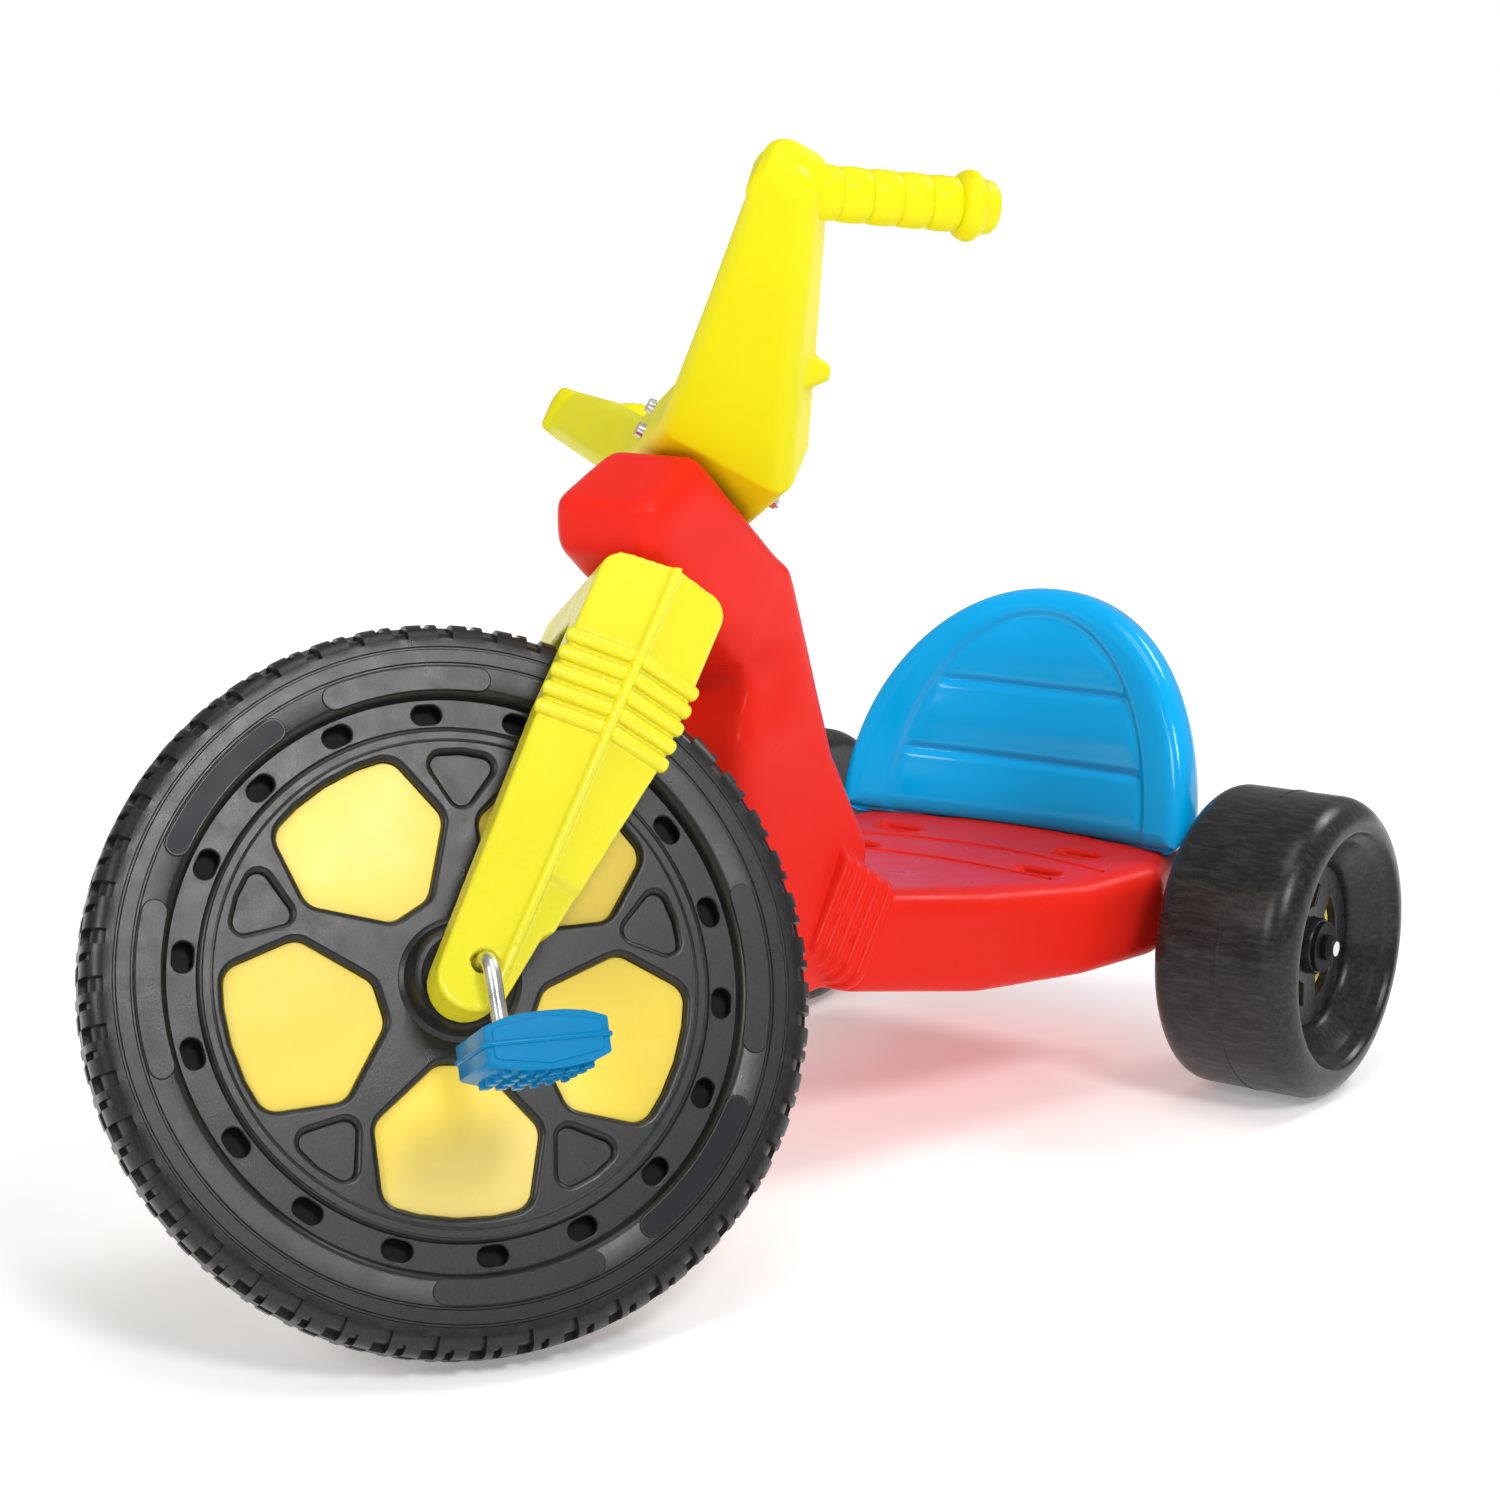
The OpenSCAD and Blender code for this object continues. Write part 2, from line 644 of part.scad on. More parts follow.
module head_bush_upper() {
    color(colour_black) raked() translate([0, 0, head_top]) head_bush(0);
}
module head_bush_lower() {
    color(colour_black) raked() translate([0, 0, head_low]) head_bush(1);
}

// Rear axle with its caps and spacers
module rear_axle() {
    color(colour_steel) in_row() translate([0, 0, axle_z]) rotate([90, 0, 0])
        cylinder(r = axle_radius,
            h = 2 * (hub_end + rear_bush_thick + 2 * running_gap + axle_cap_seat), center = true);
}
module axle_cap(side) {
    color(colour_steel) on_rear(side) translate([0, 0, hub_end + rear_bush_thick + 2 * running_gap])
        rotate_extrude() difference() {
            polygon([[0, 0], [axle_cap_radius, 0], [axle_cap_radius, axle_cap_length / 2],
                [axle_cap_radius / 2, axle_cap_length], [0, axle_cap_length]]);
            translate([0, -overrun]) square([axle_radius, axle_cap_seat + overrun]);
        }
}
module axle_cap_left() {
    axle_cap(1);
}
module axle_cap_right() {
    axle_cap(-1);
}
module axle_spacer(side) {
    color(colour_steel) on_rear(side) translate([0, 0, tunnel_half])
        ring(spacer_radius, axle_radius + fit_clearance, rear_inner - running_gap - tunnel_half);
}
module axle_spacer_left() {
    axle_spacer(1);
}
module axle_spacer_right() {
    axle_spacer(-1);
}

// Seat back with a raised rim, three pads and two lugs
module seat_slab(w, h, drop, r_in, r_out) {
    intersection() {
        rotate([90, 0, 90]) linear_extrude(height = 2 * seat_half_width, center = true)
            polygon(dome_pts(w, h, drop));
        translate([seat_curve, 0, -drop - overrun]) difference() {
            cylinder(r = r_out, h = seat_height + drop + 2 * overrun, $fn = 96);
            translate([0, 0, -overrun]) cylinder(r = r_in, h = seat_height + drop + 4 * overrun, $fn = 96);
        }
    }
}
module seat_groove(z) {
    intersection() {
        seat_slab(seat_half_width - seat_side_rim, seat_height - seat_rim, 0, seat_curve - overrun,
            seat_curve + seat_groove_depth);
        translate([-seat_half_width, -seat_half_width, z])
            cube([2 * seat_half_width, 2 * seat_half_width, seat_groove_width]);
    }
}
module seat() {
    color(colour_blue) in_row() {
        difference() {
            translate([-seat_front, 0, pan_top]) rotate([0, -seat_lean, 0]) difference() {
                seat_slab(seat_half_width, seat_height, seat_rim, seat_curve, seat_curve + seat_thick);
                difference() {
                    seat_slab(seat_half_width - seat_side_rim, seat_height - seat_rim, -seat_rim,
                        seat_curve - overrun,
                        seat_curve + seat_groove_depth);
                    seat_slab(seat_half_width - seat_side_rim - seat_groove_width,
                        seat_height - seat_rim - seat_groove_width,
                        -seat_rim - seat_groove_width, seat_curve - 2 * overrun,
                            seat_curve + 2 * seat_groove_depth);
                }
                seat_groove(seat_groove_low);
                seat_groove(seat_groove_high);
            }
            translate([-wheelbase / 2, -wheelbase / 2, pan_top - pan_ledge - seat_height])
                cube([wheelbase, wheelbase, seat_height]);
        }
        translate([slot_x - slot_pitch, 0, 0]) seat_slots(-seat_clearance, pan_top + seat_lug_depth / 2,
            seat_lug_depth * 3 / 2);
    }
}

// Fork with roof-shaped legs, parting bead, ribs and the steering stem
function fork_outline() = concat(
    arc_pts([fork_half_depth - fork_corner, fork_top - fork_corner], fork_corner, 0, 90, arc_steps),
    arc_pts([fork_corner - fork_half_depth, fork_top - fork_corner], fork_corner, 90, 180, arc_steps),
    [[-fork_half_depth, fork_taper_from], [fork_offset - fork_foot_half - 2 * fork_step_depth,
        fork_step_height],
        [fork_offset - fork_foot_half - fork_step_depth, fork_step_height - fork_step_depth]],
    arc_pts([fork_offset, fork_foot_half - fork_foot_drop], fork_foot_half, 180, 360, 2 * arc_steps),
    [[fork_half_depth, fork_taper_from]]);
module fork_leg(side) {
    translate([0, 0, -fork_foot_drop - overrun])
        linear_extrude(height = fork_top + fork_foot_drop + 2 * overrun) {
        polygon([[-fork_half_depth, side * fork_inner], [fork_half_depth, side * fork_inner],
            [fork_half_depth, side * fork_edge], [0, side * fork_outer], [-fork_half_depth,
                side * fork_edge]]);
        translate([-fork_bead_width / 2, side * fork_outer - fork_bead_rise])
            square([fork_bead_width, 2 * fork_bead_rise]);
    }
}
module fork_rib(side, way, i) {
    t = fork_rib_top - i * fork_rib_pitch;
    a0 = fork_bead_width / 4;
    a1 = fork_half_depth - fork_rib_radius / 2;
    slope = (fork_outer - fork_edge) / fork_half_depth;
    lean = atan(slope);
    translate([way * a0, side * (fork_outer - a0 * slope), t])
        rotate([0, fork_rib_slope, way > 0 ? -side * lean : 180 + side * lean]) rotate([0, 90, 0])
        linear_extrude(height = (a1 - a0) / cos(lean)) polygon([for (k = [0 : 7])
            polar(fork_rib_radius, 45 * k + 22.5)]);
}
module fork() {
    color(colour_yellow) turned() difference() {
        union() {
            intersection() {
                union() {
                    fork_leg(1);
                    fork_leg(-1);
                    translate([-fork_half_depth, -fork_inner - overrun, fork_taper_from])
                        cube([2 * fork_half_depth, 2 * (fork_inner + overrun), fork_top - fork_taper_from]);
                }
                side_plate(fork_outer + 2 * fork_bead_rise, fork_outline());
            }
            for (side = [-1, 1]) for (way = [-1, 1]) for (i = [0 : fork_rib_count - 1]) fork_rib(side,
                way, i);
            translate([0, 0, fork_top - overrun]) cylinder(r = stem_radius,
                h = bar_low + stem_grip - fork_top + overrun);
        }
        translate([fork_offset, 0, 0]) rotate([90, 0, 0])
            cylinder(r = tyre_radius + fork_crown_gap, h = 2 * fork_inner, center = true, $fn = 128);
        translate([fork_offset, 0, 0]) rotate([90, 0, 0])
            cylinder(r = crank_radius + fit_clearance, h = 3 * fork_outer, center = true);
        for (k = [0, 1]) translate([0, 0, bar_low + bolt_low + k * bolt_pitch]) rotate([0, 90, bar_twist])
            cylinder(r = bolt_radius + seat_clearance, h = 4 * stem_radius, center = true);
    }
}
module thrust_washer() {
    color(colour_steel) turned() translate([0, 0, fork_top])
        ring(washer_radius, stem_radius + seat_clearance, washer_thick);
}

// Handlebar: a wide shallow vee with ringed grips
module bar_station(i, side, inset, out) {
    low = bar_low + bar_rise * bar_rise_shares[i];
    high = low + mix(bar_height, bar_end_height, bar_height_shares[i]);
    a0 = mix(-bar_rear, bar_end_rear, bar_rear_shares[i]);
    a1 = mix(bar_front, bar_end_front, bar_front_shares[i]);
    translate([0, side * (bar_half_width * bar_y_shares[i] + out), 0]) rotate([90, 0, 0])
        linear_extrude(height = overrun, center = true)
        polygon(round_rect(a0 + inset, a1 - inset, low + inset, high - inset, bar_corner - inset / 2));
}
module grip(side) {
    root_a = mix(bar_end_rear, bar_end_front, grip_root_share);
    root_t = bar_low + bar_rise + bar_end_height / 2;
    step = (grip_length - grip_flange_length) / grip_ring_count;
    translate([root_a, side * (bar_half_width - grip_radius / 2), root_t]) rotate([0, grip_rise - 90, 0])
        rotate_extrude() union() {
            for (i = [0 : grip_ring_count - 1]) translate([0, i * step])
                polygon([[0, 0], [grip_radius - grip_groove, 0], [grip_radius, step / 4], [grip_radius,
                    step * 3 / 4],
                    [grip_radius - grip_groove, step], [0, step]]);
            translate([0, grip_length - grip_flange_length])
                polygon([[0, 0], [grip_radius, 0], [grip_flange_radius, grip_flange_length / 3],
                    [grip_flange_radius, grip_flange_length * 2 / 3], [grip_radius, grip_flange_length],
                    [0, grip_flange_length]]);
        }
}
module handlebar() {
    color(colour_yellow) on_bar() difference() {
        union() {
            hull() {
                bar_station(0, 1, 0, 0);
                bar_station(0, -1, 0, 0);
            }
            for (side = [-1, 1]) {
                hull() {
                    bar_station(0, side, 0, 0);
                    bar_station(1, side, 0, 0);
                }
                hull() {
                    bar_station(1, side, 0, 0);
                    bar_station(2, side, 0, 0);
                    bar_station(2, side, bar_cap * cap_inset_share, bar_cap * cap_out_share);
                    bar_station(2, side, bar_cap, bar_cap);
                }
                grip(side);
                translate([mix(-bar_rear, bar_end_rear, boss_rise_share),
                    side * bar_half_width * boss_share,
                    bar_low + bar_rise * boss_rise_share + bar_height / 2]) rotate([0, grip_rise - 90, 0])
                    cylinder(r1 = boss_radius, r2 = boss_tip_radius, h = boss_length);
            }
        }
        translate([0, 0, bar_low - overrun]) cylinder(r = stem_radius + seat_clearance,
            h = stem_grip + overrun);
        for (k = [0, 1]) translate([0, 0, bar_low + bolt_low + k * bolt_pitch]) rotate([0, 90, 0])
            cylinder(r = bolt_radius + seat_clearance, h = 4 * bar_front, center = true);
    }
}
module bar_bolt(k) {
    color(colour_steel) on_bar() translate([mix(bar_front, bar_end_front, bar_front_shares[0]), 0,
        bar_low + bolt_low + k * bolt_pitch]) rotate([0, 90, 0]) {
            cylinder(r1 = bolt_head_radius, r2 = bolt_head_radius * tail_share, h = bolt_head_thick);
            translate([0, 0, -bar_front - bar_rear - 2 * bolt_head_thick])
                cylinder(r = bolt_radius, h = bar_front + bar_rear + 3 * bolt_head_thick - overrun);
        }
}
module bar_bolt_upper() {
    bar_bolt(1);
}
module bar_bolt_lower() {
    bar_bolt(0);
}
module bar_nut(k) {
    color(colour_steel) on_bar() translate([-bar_rear, 0, bar_low + bolt_low + k * bolt_pitch])
        rotate([0, -90, 0])
        difference() {
            cylinder(r = bolt_head_radius, h = bolt_head_thick, $fn = 6);
            translate([0, 0, -overrun]) cylinder(r = bolt_radius, h = bolt_head_thick + 2 * overrun);
        }
}
module bar_nut_upper() {
    bar_nut(1);
}
module bar_nut_lower() {
    bar_nut(0);
}

// Front wheel: one blow moulding with tread, notches, vent holes, windows and small pockets
module wheel_disc() {
    rotate_extrude($fn = 128) polygon([
        [0, hub_face], [hub_boss_radius, hub_face], [hub_boss_radius + hub_boss_height / 2, dish_z],
        [sidewall_inner_radius, dish_z], [sidewall_inner_radius + sidewall_step, tyre_half_width],
        [tyre_radius - shoulder_drop, tyre_half_width], [tyre_radius, tread_half_width],
        [tyre_radius, -tread_half_width], [tyre_radius - shoulder_drop, -tyre_half_width],
        [sidewall_inner_radius + sidewall_step, -tyre_half_width], [sidewall_inner_radius, -dish_z],
        [hub_boss_radius + hub_boss_height / 2, -dish_z], [hub_boss_radius, -hub_face], [0, -hub_face]]);
}
function window_pts(inset) = round_poly([polar(window_inner + inset, -window_inner_angle),
    polar(window_side - inset,
    -window_side_angle),
    polar(window_outer - 2 * inset, -window_outer_angle), polar(window_outer - inset, 0),
    polar(window_outer - 2 * inset, window_outer_angle), polar(window_side - inset, window_side_angle),
    polar(window_inner + inset, window_inner_angle)], window_corner);
function pocket_pts() = round_poly([[pocket_inner, 0], polar(pocket_outer, -pocket_angle),
    polar(pocket_outer, pocket_angle)], pocket_corner);
module wheel_face() {
    for (half = [0, 180]) for (i = [-1 : 1])
        rotate([0, 0, label_phase + half + i * label_pad_pitch - label_pad_angle / 2])
            rotate_extrude(angle = label_pad_angle, $fn = 128) translate([label_pad_inner,
                tyre_half_width - overrun])
        square([label_pad_outer - label_pad_inner, overrun + label_pad_rise]);
    rotate_extrude($fn = 128) translate([rib_line_radius, dish_z - overrun])
        square([rib_line_width, overrun + label_pad_rise]);
}
module wheel_cuts() {
    for (i = [0 : notch_count - 1]) rotate([0, 0, 360 * i / notch_count])
        translate([tyre_radius - notch_length, 0, tyre_half_width - notch_depth])
        linear_extrude(height = notch_depth + overrun)
        polygon(concat(arc_pts([notch_width / 2, 0], notch_width / 2, 90, 270, arc_steps),
            [[notch_length + overrun, -notch_width / 2], [notch_length + overrun, notch_width / 2]]));
    for (i = [0 : vent_count - 1]) rotate([0, 0, vent_phase + 360 * i / vent_count])
        translate([vent_circle, 0, dish_z - vent_depth]) rotate([0, 0, 90])
        linear_extrude(height = vent_depth + overrun) polygon(stadium(vent_length, vent_width / 2));
    for (i = [0 : window_count - 1]) rotate([0, 0, window_phase + 360 * i / window_count]) {
        translate([0, 0, dish_z - window_depth]) linear_extrude(height = window_depth + overrun)
            polygon(window_pts(0));
        rotate([0, 0, 180 / window_count]) translate([0, 0, dish_z - pocket_depth])
            linear_extrude(height = pocket_depth + overrun) polygon(pocket_pts());
    }
}
module front_wheel() {
    color(colour_black) in_wheel() difference() {
        union() {
            wheel_disc();
            wheel_face();
            mirror([0, 0, 1]) wheel_face();
        }
        wheel_cuts();
        mirror([0, 0, 1]) wheel_cuts();
        for (i = [0 : notch_count / 2 - 1]) rotate([0, 0, 720 * i / notch_count])
            translate([tyre_radius - tread_groove_depth, -tread_groove_width / 2, -tread_groove_length / 2])
            cube([tread_groove_depth + overrun, tread_groove_width, tread_groove_length]);
        cylinder(r = crank_radius, h = 3 * hub_face, center = true);
    }
}
module wheel_panels(side) {
    color(colour_panel) in_wheel() mirror([0, 0, side]) for (i = [0 : window_count - 1])
        rotate([0, 0, window_phase + 360 * i / window_count])
        translate([0, 0, dish_z - window_depth]) linear_extrude(height = panel_thick)
        polygon(window_pts(seat_clearance));
}
module wheel_panels_left() {
    wheel_panels(0);
}
module wheel_panels_right() {
    wheel_panels(1);
}
module hub_plate(side) {
    color(colour_yellow) in_wheel() mirror([0, 0, side]) translate([0, 0, hub_face])
        ring(hub_plate_radius, crank_radius, hub_plate_thick);
}
module hub_plate_left() {
    hub_plate(0);
}
module hub_plate_right() {
    hub_plate(1);
}

// Bent crank rod and pedals
module crank_elbow() {
    rotate([90, 0, 0]) rotate_extrude(angle = 90) translate([crank_bend, 0]) circle(r = crank_radius);
}
module crank_half() {
    cylinder(r = crank_radius, h = crank_reach - crank_bend);
    translate([crank_bend, 0, crank_reach - crank_bend]) mirror([1, 0, 0]) crank_elbow();
    translate([crank_bend, 0, crank_reach]) rotate([0, 90, 0])
        cylinder(r = crank_radius, h = crank_throw - 2 * crank_bend);
    translate([crank_throw - crank_bend, 0, crank_reach + crank_bend]) mirror([0, 0, 1]) crank_elbow();
    translate([crank_throw, 0, crank_reach + crank_bend])
        cylinder(r = crank_radius, h = spindle_end - crank_reach - crank_bend);
}
module crank() {
    color(colour_steel) in_wheel() rotate([0, 0, -crank_angle]) {
        crank_half();
        rotate([0, 180, 0]) crank_half();
    }
}
module at_pedal(side) {
    in_wheel() rotate([0, 0, -crank_angle]) rotate([0, side * 180, 0]) translate([crank_throw, 0, 0])
        children();
}
function pedal_outline(grow) =
    let(l = pedal_length / 2 + grow, h = pedal_thick / 2, e = pedal_end_thick / 2)
    [[l, e], [l / 2, h], [-l / 2, h], [-l, e], [-l, -e], [-l / 2, -h], [l / 2, -h], [l, -e]];
module pedal(side) {
    level = (side == 0 ? 1 : -1) * (crank_angle + rake_angle - pedal_tilt);
    color(colour_blue) at_pedal(side) translate([0, 0, pedal_offset]) rotate([0, 0, level]) difference() {
        union() {
            linear_extrude(height = pedal_width, center = true) polygon(pedal_outline(0));
            translate([-pedal_length / 2 - pedal_bead_out, -pedal_bead_thick / 2,
                -pedal_width / 2 - pedal_bead_out])
                cube([pedal_length + 2 * pedal_bead_out, pedal_bead_thick,
                    pedal_width + 2 * pedal_bead_out]);
            for (up = [-1, 1]) for (i = [-1 : 1]) for (k = [-1, 1])
                translate([i * pedal_length / 6 - pedal_lug_size / 2, up * pedal_thick / 2 - pedal_lug_rise,
                    k * pedal_width / 4 - pedal_lug_size / 2])
                    cube([pedal_lug_size, 2 * pedal_lug_rise, pedal_lug_size]);
        }
        translate([0, 0, -pedal_width / 2 - 2 * pedal_bead_out])
            cylinder(r = crank_radius + fit_clearance, h = pedal_width + 2 * pedal_bead_out - pedal_wall);
    }
}
module pedal_left() {
    pedal(0);
}
module pedal_right() {
    pedal(1);
}

// Rear wheels with a dished outer face, spokes, panels and bushes
module rear_wheel(side) {
    color(colour_black) on_rear(side) difference() {
        rotate_extrude($fn = 128) union() {
            polygon(concat([[0, rear_inner]],
                arc_pts([rear_radius - rear_shoulder, rear_inner + rear_shoulder], rear_shoulder, -90,
                    0, arc_steps),
                arc_pts([rear_radius - rear_outer_shoulder, wheel_end - rear_outer_shoulder],
                    rear_outer_shoulder,
                    0, 90, arc_steps),
                [[rear_dish_radius, wheel_end], [rear_floor_radius, wheel_end - rear_dish_depth],
                    [rear_hub_radius, wheel_end - rear_dish_depth], [rear_hub_radius, hub_end], [0,
                        hub_end]]));
            translate([rear_radius - overrun, rear_inner + rear_width / 2 - rear_line_width / 2])
                square([overrun + rear_line_rise, rear_line_width]);
        }
        for (i = [0 : window_count - 1]) rotate([0, 0, 360 * i / window_count])
            translate([0, 0, wheel_end - rear_dish_depth - rear_window_depth])
            linear_extrude(height = rear_window_depth + overrun)
            polygon(sector_pts(rear_window_inner, rear_window_outer, rear_spoke_width, 360 / window_count));
        cylinder(r = axle_radius + fit_clearance, h = wheel_end + overrun);
        translate([0, 0, hub_end - rear_bush_length]) cylinder(r = rear_bush_radius + seat_clearance,
            h = rear_bush_length + overrun);
    }
}
module rear_wheel_left() {
    rear_wheel(1);
}
module rear_wheel_right() {
    rear_wheel(-1);
}
module rear_panels(side) {
    color(colour_panel) on_rear(side) for (i = [0 : window_count - 1]) rotate([0, 0,
        360 * i / window_count])
        translate([0, 0, wheel_end - rear_dish_depth - rear_window_depth])
            linear_extrude(height = panel_thick)
        polygon(sector_pts(rear_window_inner + seat_clearance, rear_window_outer - seat_clearance,
            rear_spoke_width + 2 * seat_clearance, 360 / window_count));
}
module rear_panels_left() {
    rear_panels(1);
}
module rear_panels_right() {
    rear_panels(-1);
}
module rear_bush(side) {
    color(colour_black) on_rear(side) difference() {
        union() {
            translate([0, 0, hub_end - rear_bush_length]) cylinder(r = rear_bush_radius,
                h = rear_bush_length);
            translate([0, 0, hub_end]) cylinder(r = rear_bush_flange, h = rear_bush_thick);
        }
        cylinder(r = axle_radius + fit_clearance, h = wheel_end + 2 * rear_bush_thick);
    }
}
module rear_bush_left() {
    rear_bush(1);
}
module rear_bush_right() {
    rear_bush(-1);
}

body_shell();
head_bush_upper();
head_bush_lower();
rear_axle();
axle_cap_left();
axle_cap_right();
axle_spacer_left();
axle_spacer_right();
seat();
fork();
thrust_washer();
handlebar();
bar_bolt_upper();
bar_bolt_lower();
bar_nut_upper();
bar_nut_lower();
front_wheel();
wheel_panels_left();
wheel_panels_right();
hub_plate_left();
hub_plate_right();
crank();
pedal_left();
pedal_right();
rear_wheel_left();
rear_panels_left();
rear_bush_left();
rear_wheel_right();
rear_panels_right();
rear_bush_right();
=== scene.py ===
import json
import math

import bmesh
import bpy
from mathutils import Matrix, Vector


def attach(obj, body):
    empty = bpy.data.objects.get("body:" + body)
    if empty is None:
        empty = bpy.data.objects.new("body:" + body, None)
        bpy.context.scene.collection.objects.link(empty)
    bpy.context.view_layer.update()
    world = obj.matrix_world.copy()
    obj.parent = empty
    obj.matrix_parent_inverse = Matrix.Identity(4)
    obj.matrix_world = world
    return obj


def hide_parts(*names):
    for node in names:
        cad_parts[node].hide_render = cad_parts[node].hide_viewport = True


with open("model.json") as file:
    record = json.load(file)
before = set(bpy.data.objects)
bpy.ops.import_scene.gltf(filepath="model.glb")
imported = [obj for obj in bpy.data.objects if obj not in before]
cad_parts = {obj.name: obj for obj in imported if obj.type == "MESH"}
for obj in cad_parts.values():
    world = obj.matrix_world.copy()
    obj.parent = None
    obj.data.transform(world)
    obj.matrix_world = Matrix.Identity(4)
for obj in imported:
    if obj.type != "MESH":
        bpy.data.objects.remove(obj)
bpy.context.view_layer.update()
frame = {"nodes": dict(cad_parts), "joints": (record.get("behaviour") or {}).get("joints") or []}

bl_info = {
    "name": "Low rider tricycle",
    "version": (1, 0, 0),
    "blender": (4, 5, 0),
    "location": "View3D > Sidebar > Tricycle",
    "description": "Builds the moulded looks of a low rider tricycle on its packed frame",
    "category": "Object",
}

MM = 0.001

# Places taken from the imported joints, in metres
JOINTS = {j["name"]: j for j in frame["joints"]}
PIVOT = Vector(JOINTS["steering_turn"]["pos_m"])
STEM = Vector(JOINTS["steering_turn"]["axis"]).normalized()
HUB = Vector(JOINTS["front_spin"]["pos_m"])
SPINDLE = Vector(JOINTS["front_spin"]["axis"]).normalized()
AHEAD = SPINDLE.cross(STEM)
WHEEL_BODY = JOINTS["front_spin"]["child"]
REAR = Vector(JOINTS["left_rear_spin"]["pos_m"])


def place(origin, x, y, z):
    """A frame in millimetres, from its origin in metres and its three directions."""
    rows = [(x[i], y[i], z[i], origin[i]) for i in range(3)]
    return Matrix([*rows, (0, 0, 0, 1)]) @ Matrix.Scale(MM, 4)


STEER_FRAME = place(PIVOT, AHEAD, SPINDLE, STEM)
WHEEL_FRAME = place(HUB, AHEAD, -STEM, SPINDLE)
ROW_FRAME = Matrix.Translation((REAR.x, 0, 0)) @ Matrix.Scale(MM, 4)
SIDES = {"left": 1, "right": -1}


def rear_frame(side):
    """The frame of a rear wheel: its axle is z, outwards, with the middle of the tricycle at 0."""
    return place((REAR.x, 0, REAR.z), (1, 0, 0), (0, 0, -side), (0, side, 0))


# Materials


class Finish:
    """A node material under construction, patterned on Object coordinates."""

    def __init__(self, name):
        self.material = bpy.data.materials.new(name)
        self.material.use_nodes = True
        self.tree = self.material.node_tree
        self.shader = self.tree.nodes["Principled BSDF"]
        self.place = self.tree.nodes.new("ShaderNodeTexCoord").outputs["Object"]

    def stretched(self, scale):
        """Object coordinates, scaled along each axis."""
        node = self.tree.nodes.new("ShaderNodeMapping")
        node.inputs["Scale"].default_value = scale
        self.tree.links.new(self.place, node.inputs["Vector"])
        return node.outputs["Vector"]

    def noise(self, scale, detail=3.0, rough=0.55, vector=None):
        """A noise texture, scale in waves per metre."""
        node = self.tree.nodes.new("ShaderNodeTexNoise")
        node.inputs["Scale"].default_value = scale
        node.inputs["Detail"].default_value = detail
        node.inputs["Roughness"].default_value = rough
        self.tree.links.new(vector or self.place, node.inputs["Vector"])
        return node.outputs["Fac"]

    def colours(self, factor, stops):
        """Sends a factor through a ramp of colours into the shader."""
        node = self.tree.nodes.new("ShaderNodeValToRGB")
        ramp = node.color_ramp
        for _ in stops[2:]:
            ramp.elements.new(0.5)
        for i, (at, colour) in enumerate(stops):
            ramp.elements[i].position = at
            ramp.elements[i].color = (*colour, 1)
        self.tree.links.new(factor, node.inputs["Fac"])
        self.tree.links.new(node.outputs["Color"], self.shader.inputs["Base Color"])

    def roughness(self, factor, low, high):
        """Lets a factor move the roughness between two values."""
        node = self.tree.nodes.new("ShaderNodeMapRange")
        node.inputs["From Min"].default_value = 0.3
        node.inputs["From Max"].default_value = 0.7
        node.inputs["To Min"].default_value = low
        node.inputs["To Max"].default_value = high
        self.tree.links.new(factor, node.inputs["Value"])
        self.tree.links.new(node.outputs["Result"], self.shader.inputs["Roughness"])

    def bump(self, factor, strength, depth):
        """Adds a bump on top of those already there."""
        node = self.tree.nodes.new("ShaderNodeBump")
        node.inputs["Strength"].default_value = strength
        node.inputs["Distance"].default_value = depth
        self.tree.links.new(factor, node.inputs["Height"])
        was = self.shader.inputs["Normal"]
        if was.is_linked:
            self.tree.links.new(was.links[0].from_socket, node.inputs["Normal"])
        self.tree.links.new(node.outputs["Normal"], was)


def shade(colour, by):
    """A colour made darker or paler."""
    return tuple(min(1.0, c * by) for c in colour)


def gloss_plastic(name, colour, low, high, gloss):
    """Moulded plastic: slow tone drift, fine orange peel and a few flow marks."""
    finish = Finish(name)
    drift = finish.noise(6, 2)
    peel = finish.noise(260, 2)
    finish.colours(drift, [(0.3, shade(colour, 0.93)), (0.7, shade(colour, 1.03))])
    finish.roughness(finish.noise(38, 4), low, high)
    finish.bump(peel, 0.05, 0.0006)
    finish.shader.inputs["Specular IOR Level"].default_value = gloss


def grained_plastic(name, colour, low, high, gloss, streak):
    """Charcoal plastic with a leathery grain and fine wiped streaks."""
    finish = Finish(name)
    streaks = finish.noise(1, 5, 0.7, finish.stretched(streak))
    finish.colours(streaks, [(0.38, shade(colour, 0.55)), (0.5, colour), (0.64, shade(colour, 2.0))])
    finish.roughness(finish.noise(90, 4), low, high)
    finish.bump(finish.noise(900, 3, 0.6), 0.1, 0.0005)
    finish.bump(streaks, 0.2, 0.0003)
    finish.shader.inputs["Specular IOR Level"].default_value = gloss


def plated_steel(name, colour, low, high):
    """Zinc plate: drawn along its length and a little cloudy."""
    finish = Finish(name)
    cloud = finish.noise(70, 4)
    finish.colours(cloud, [(0.3, shade(colour, 0.8)), (0.7, colour)])
    finish.roughness(cloud, low, high)
    finish.bump(finish.noise(1, 3, 0.6, finish.stretched((900, 900, 120))), 0.12, 0.0002)
    finish.shader.inputs["Metallic"].default_value = 1.0


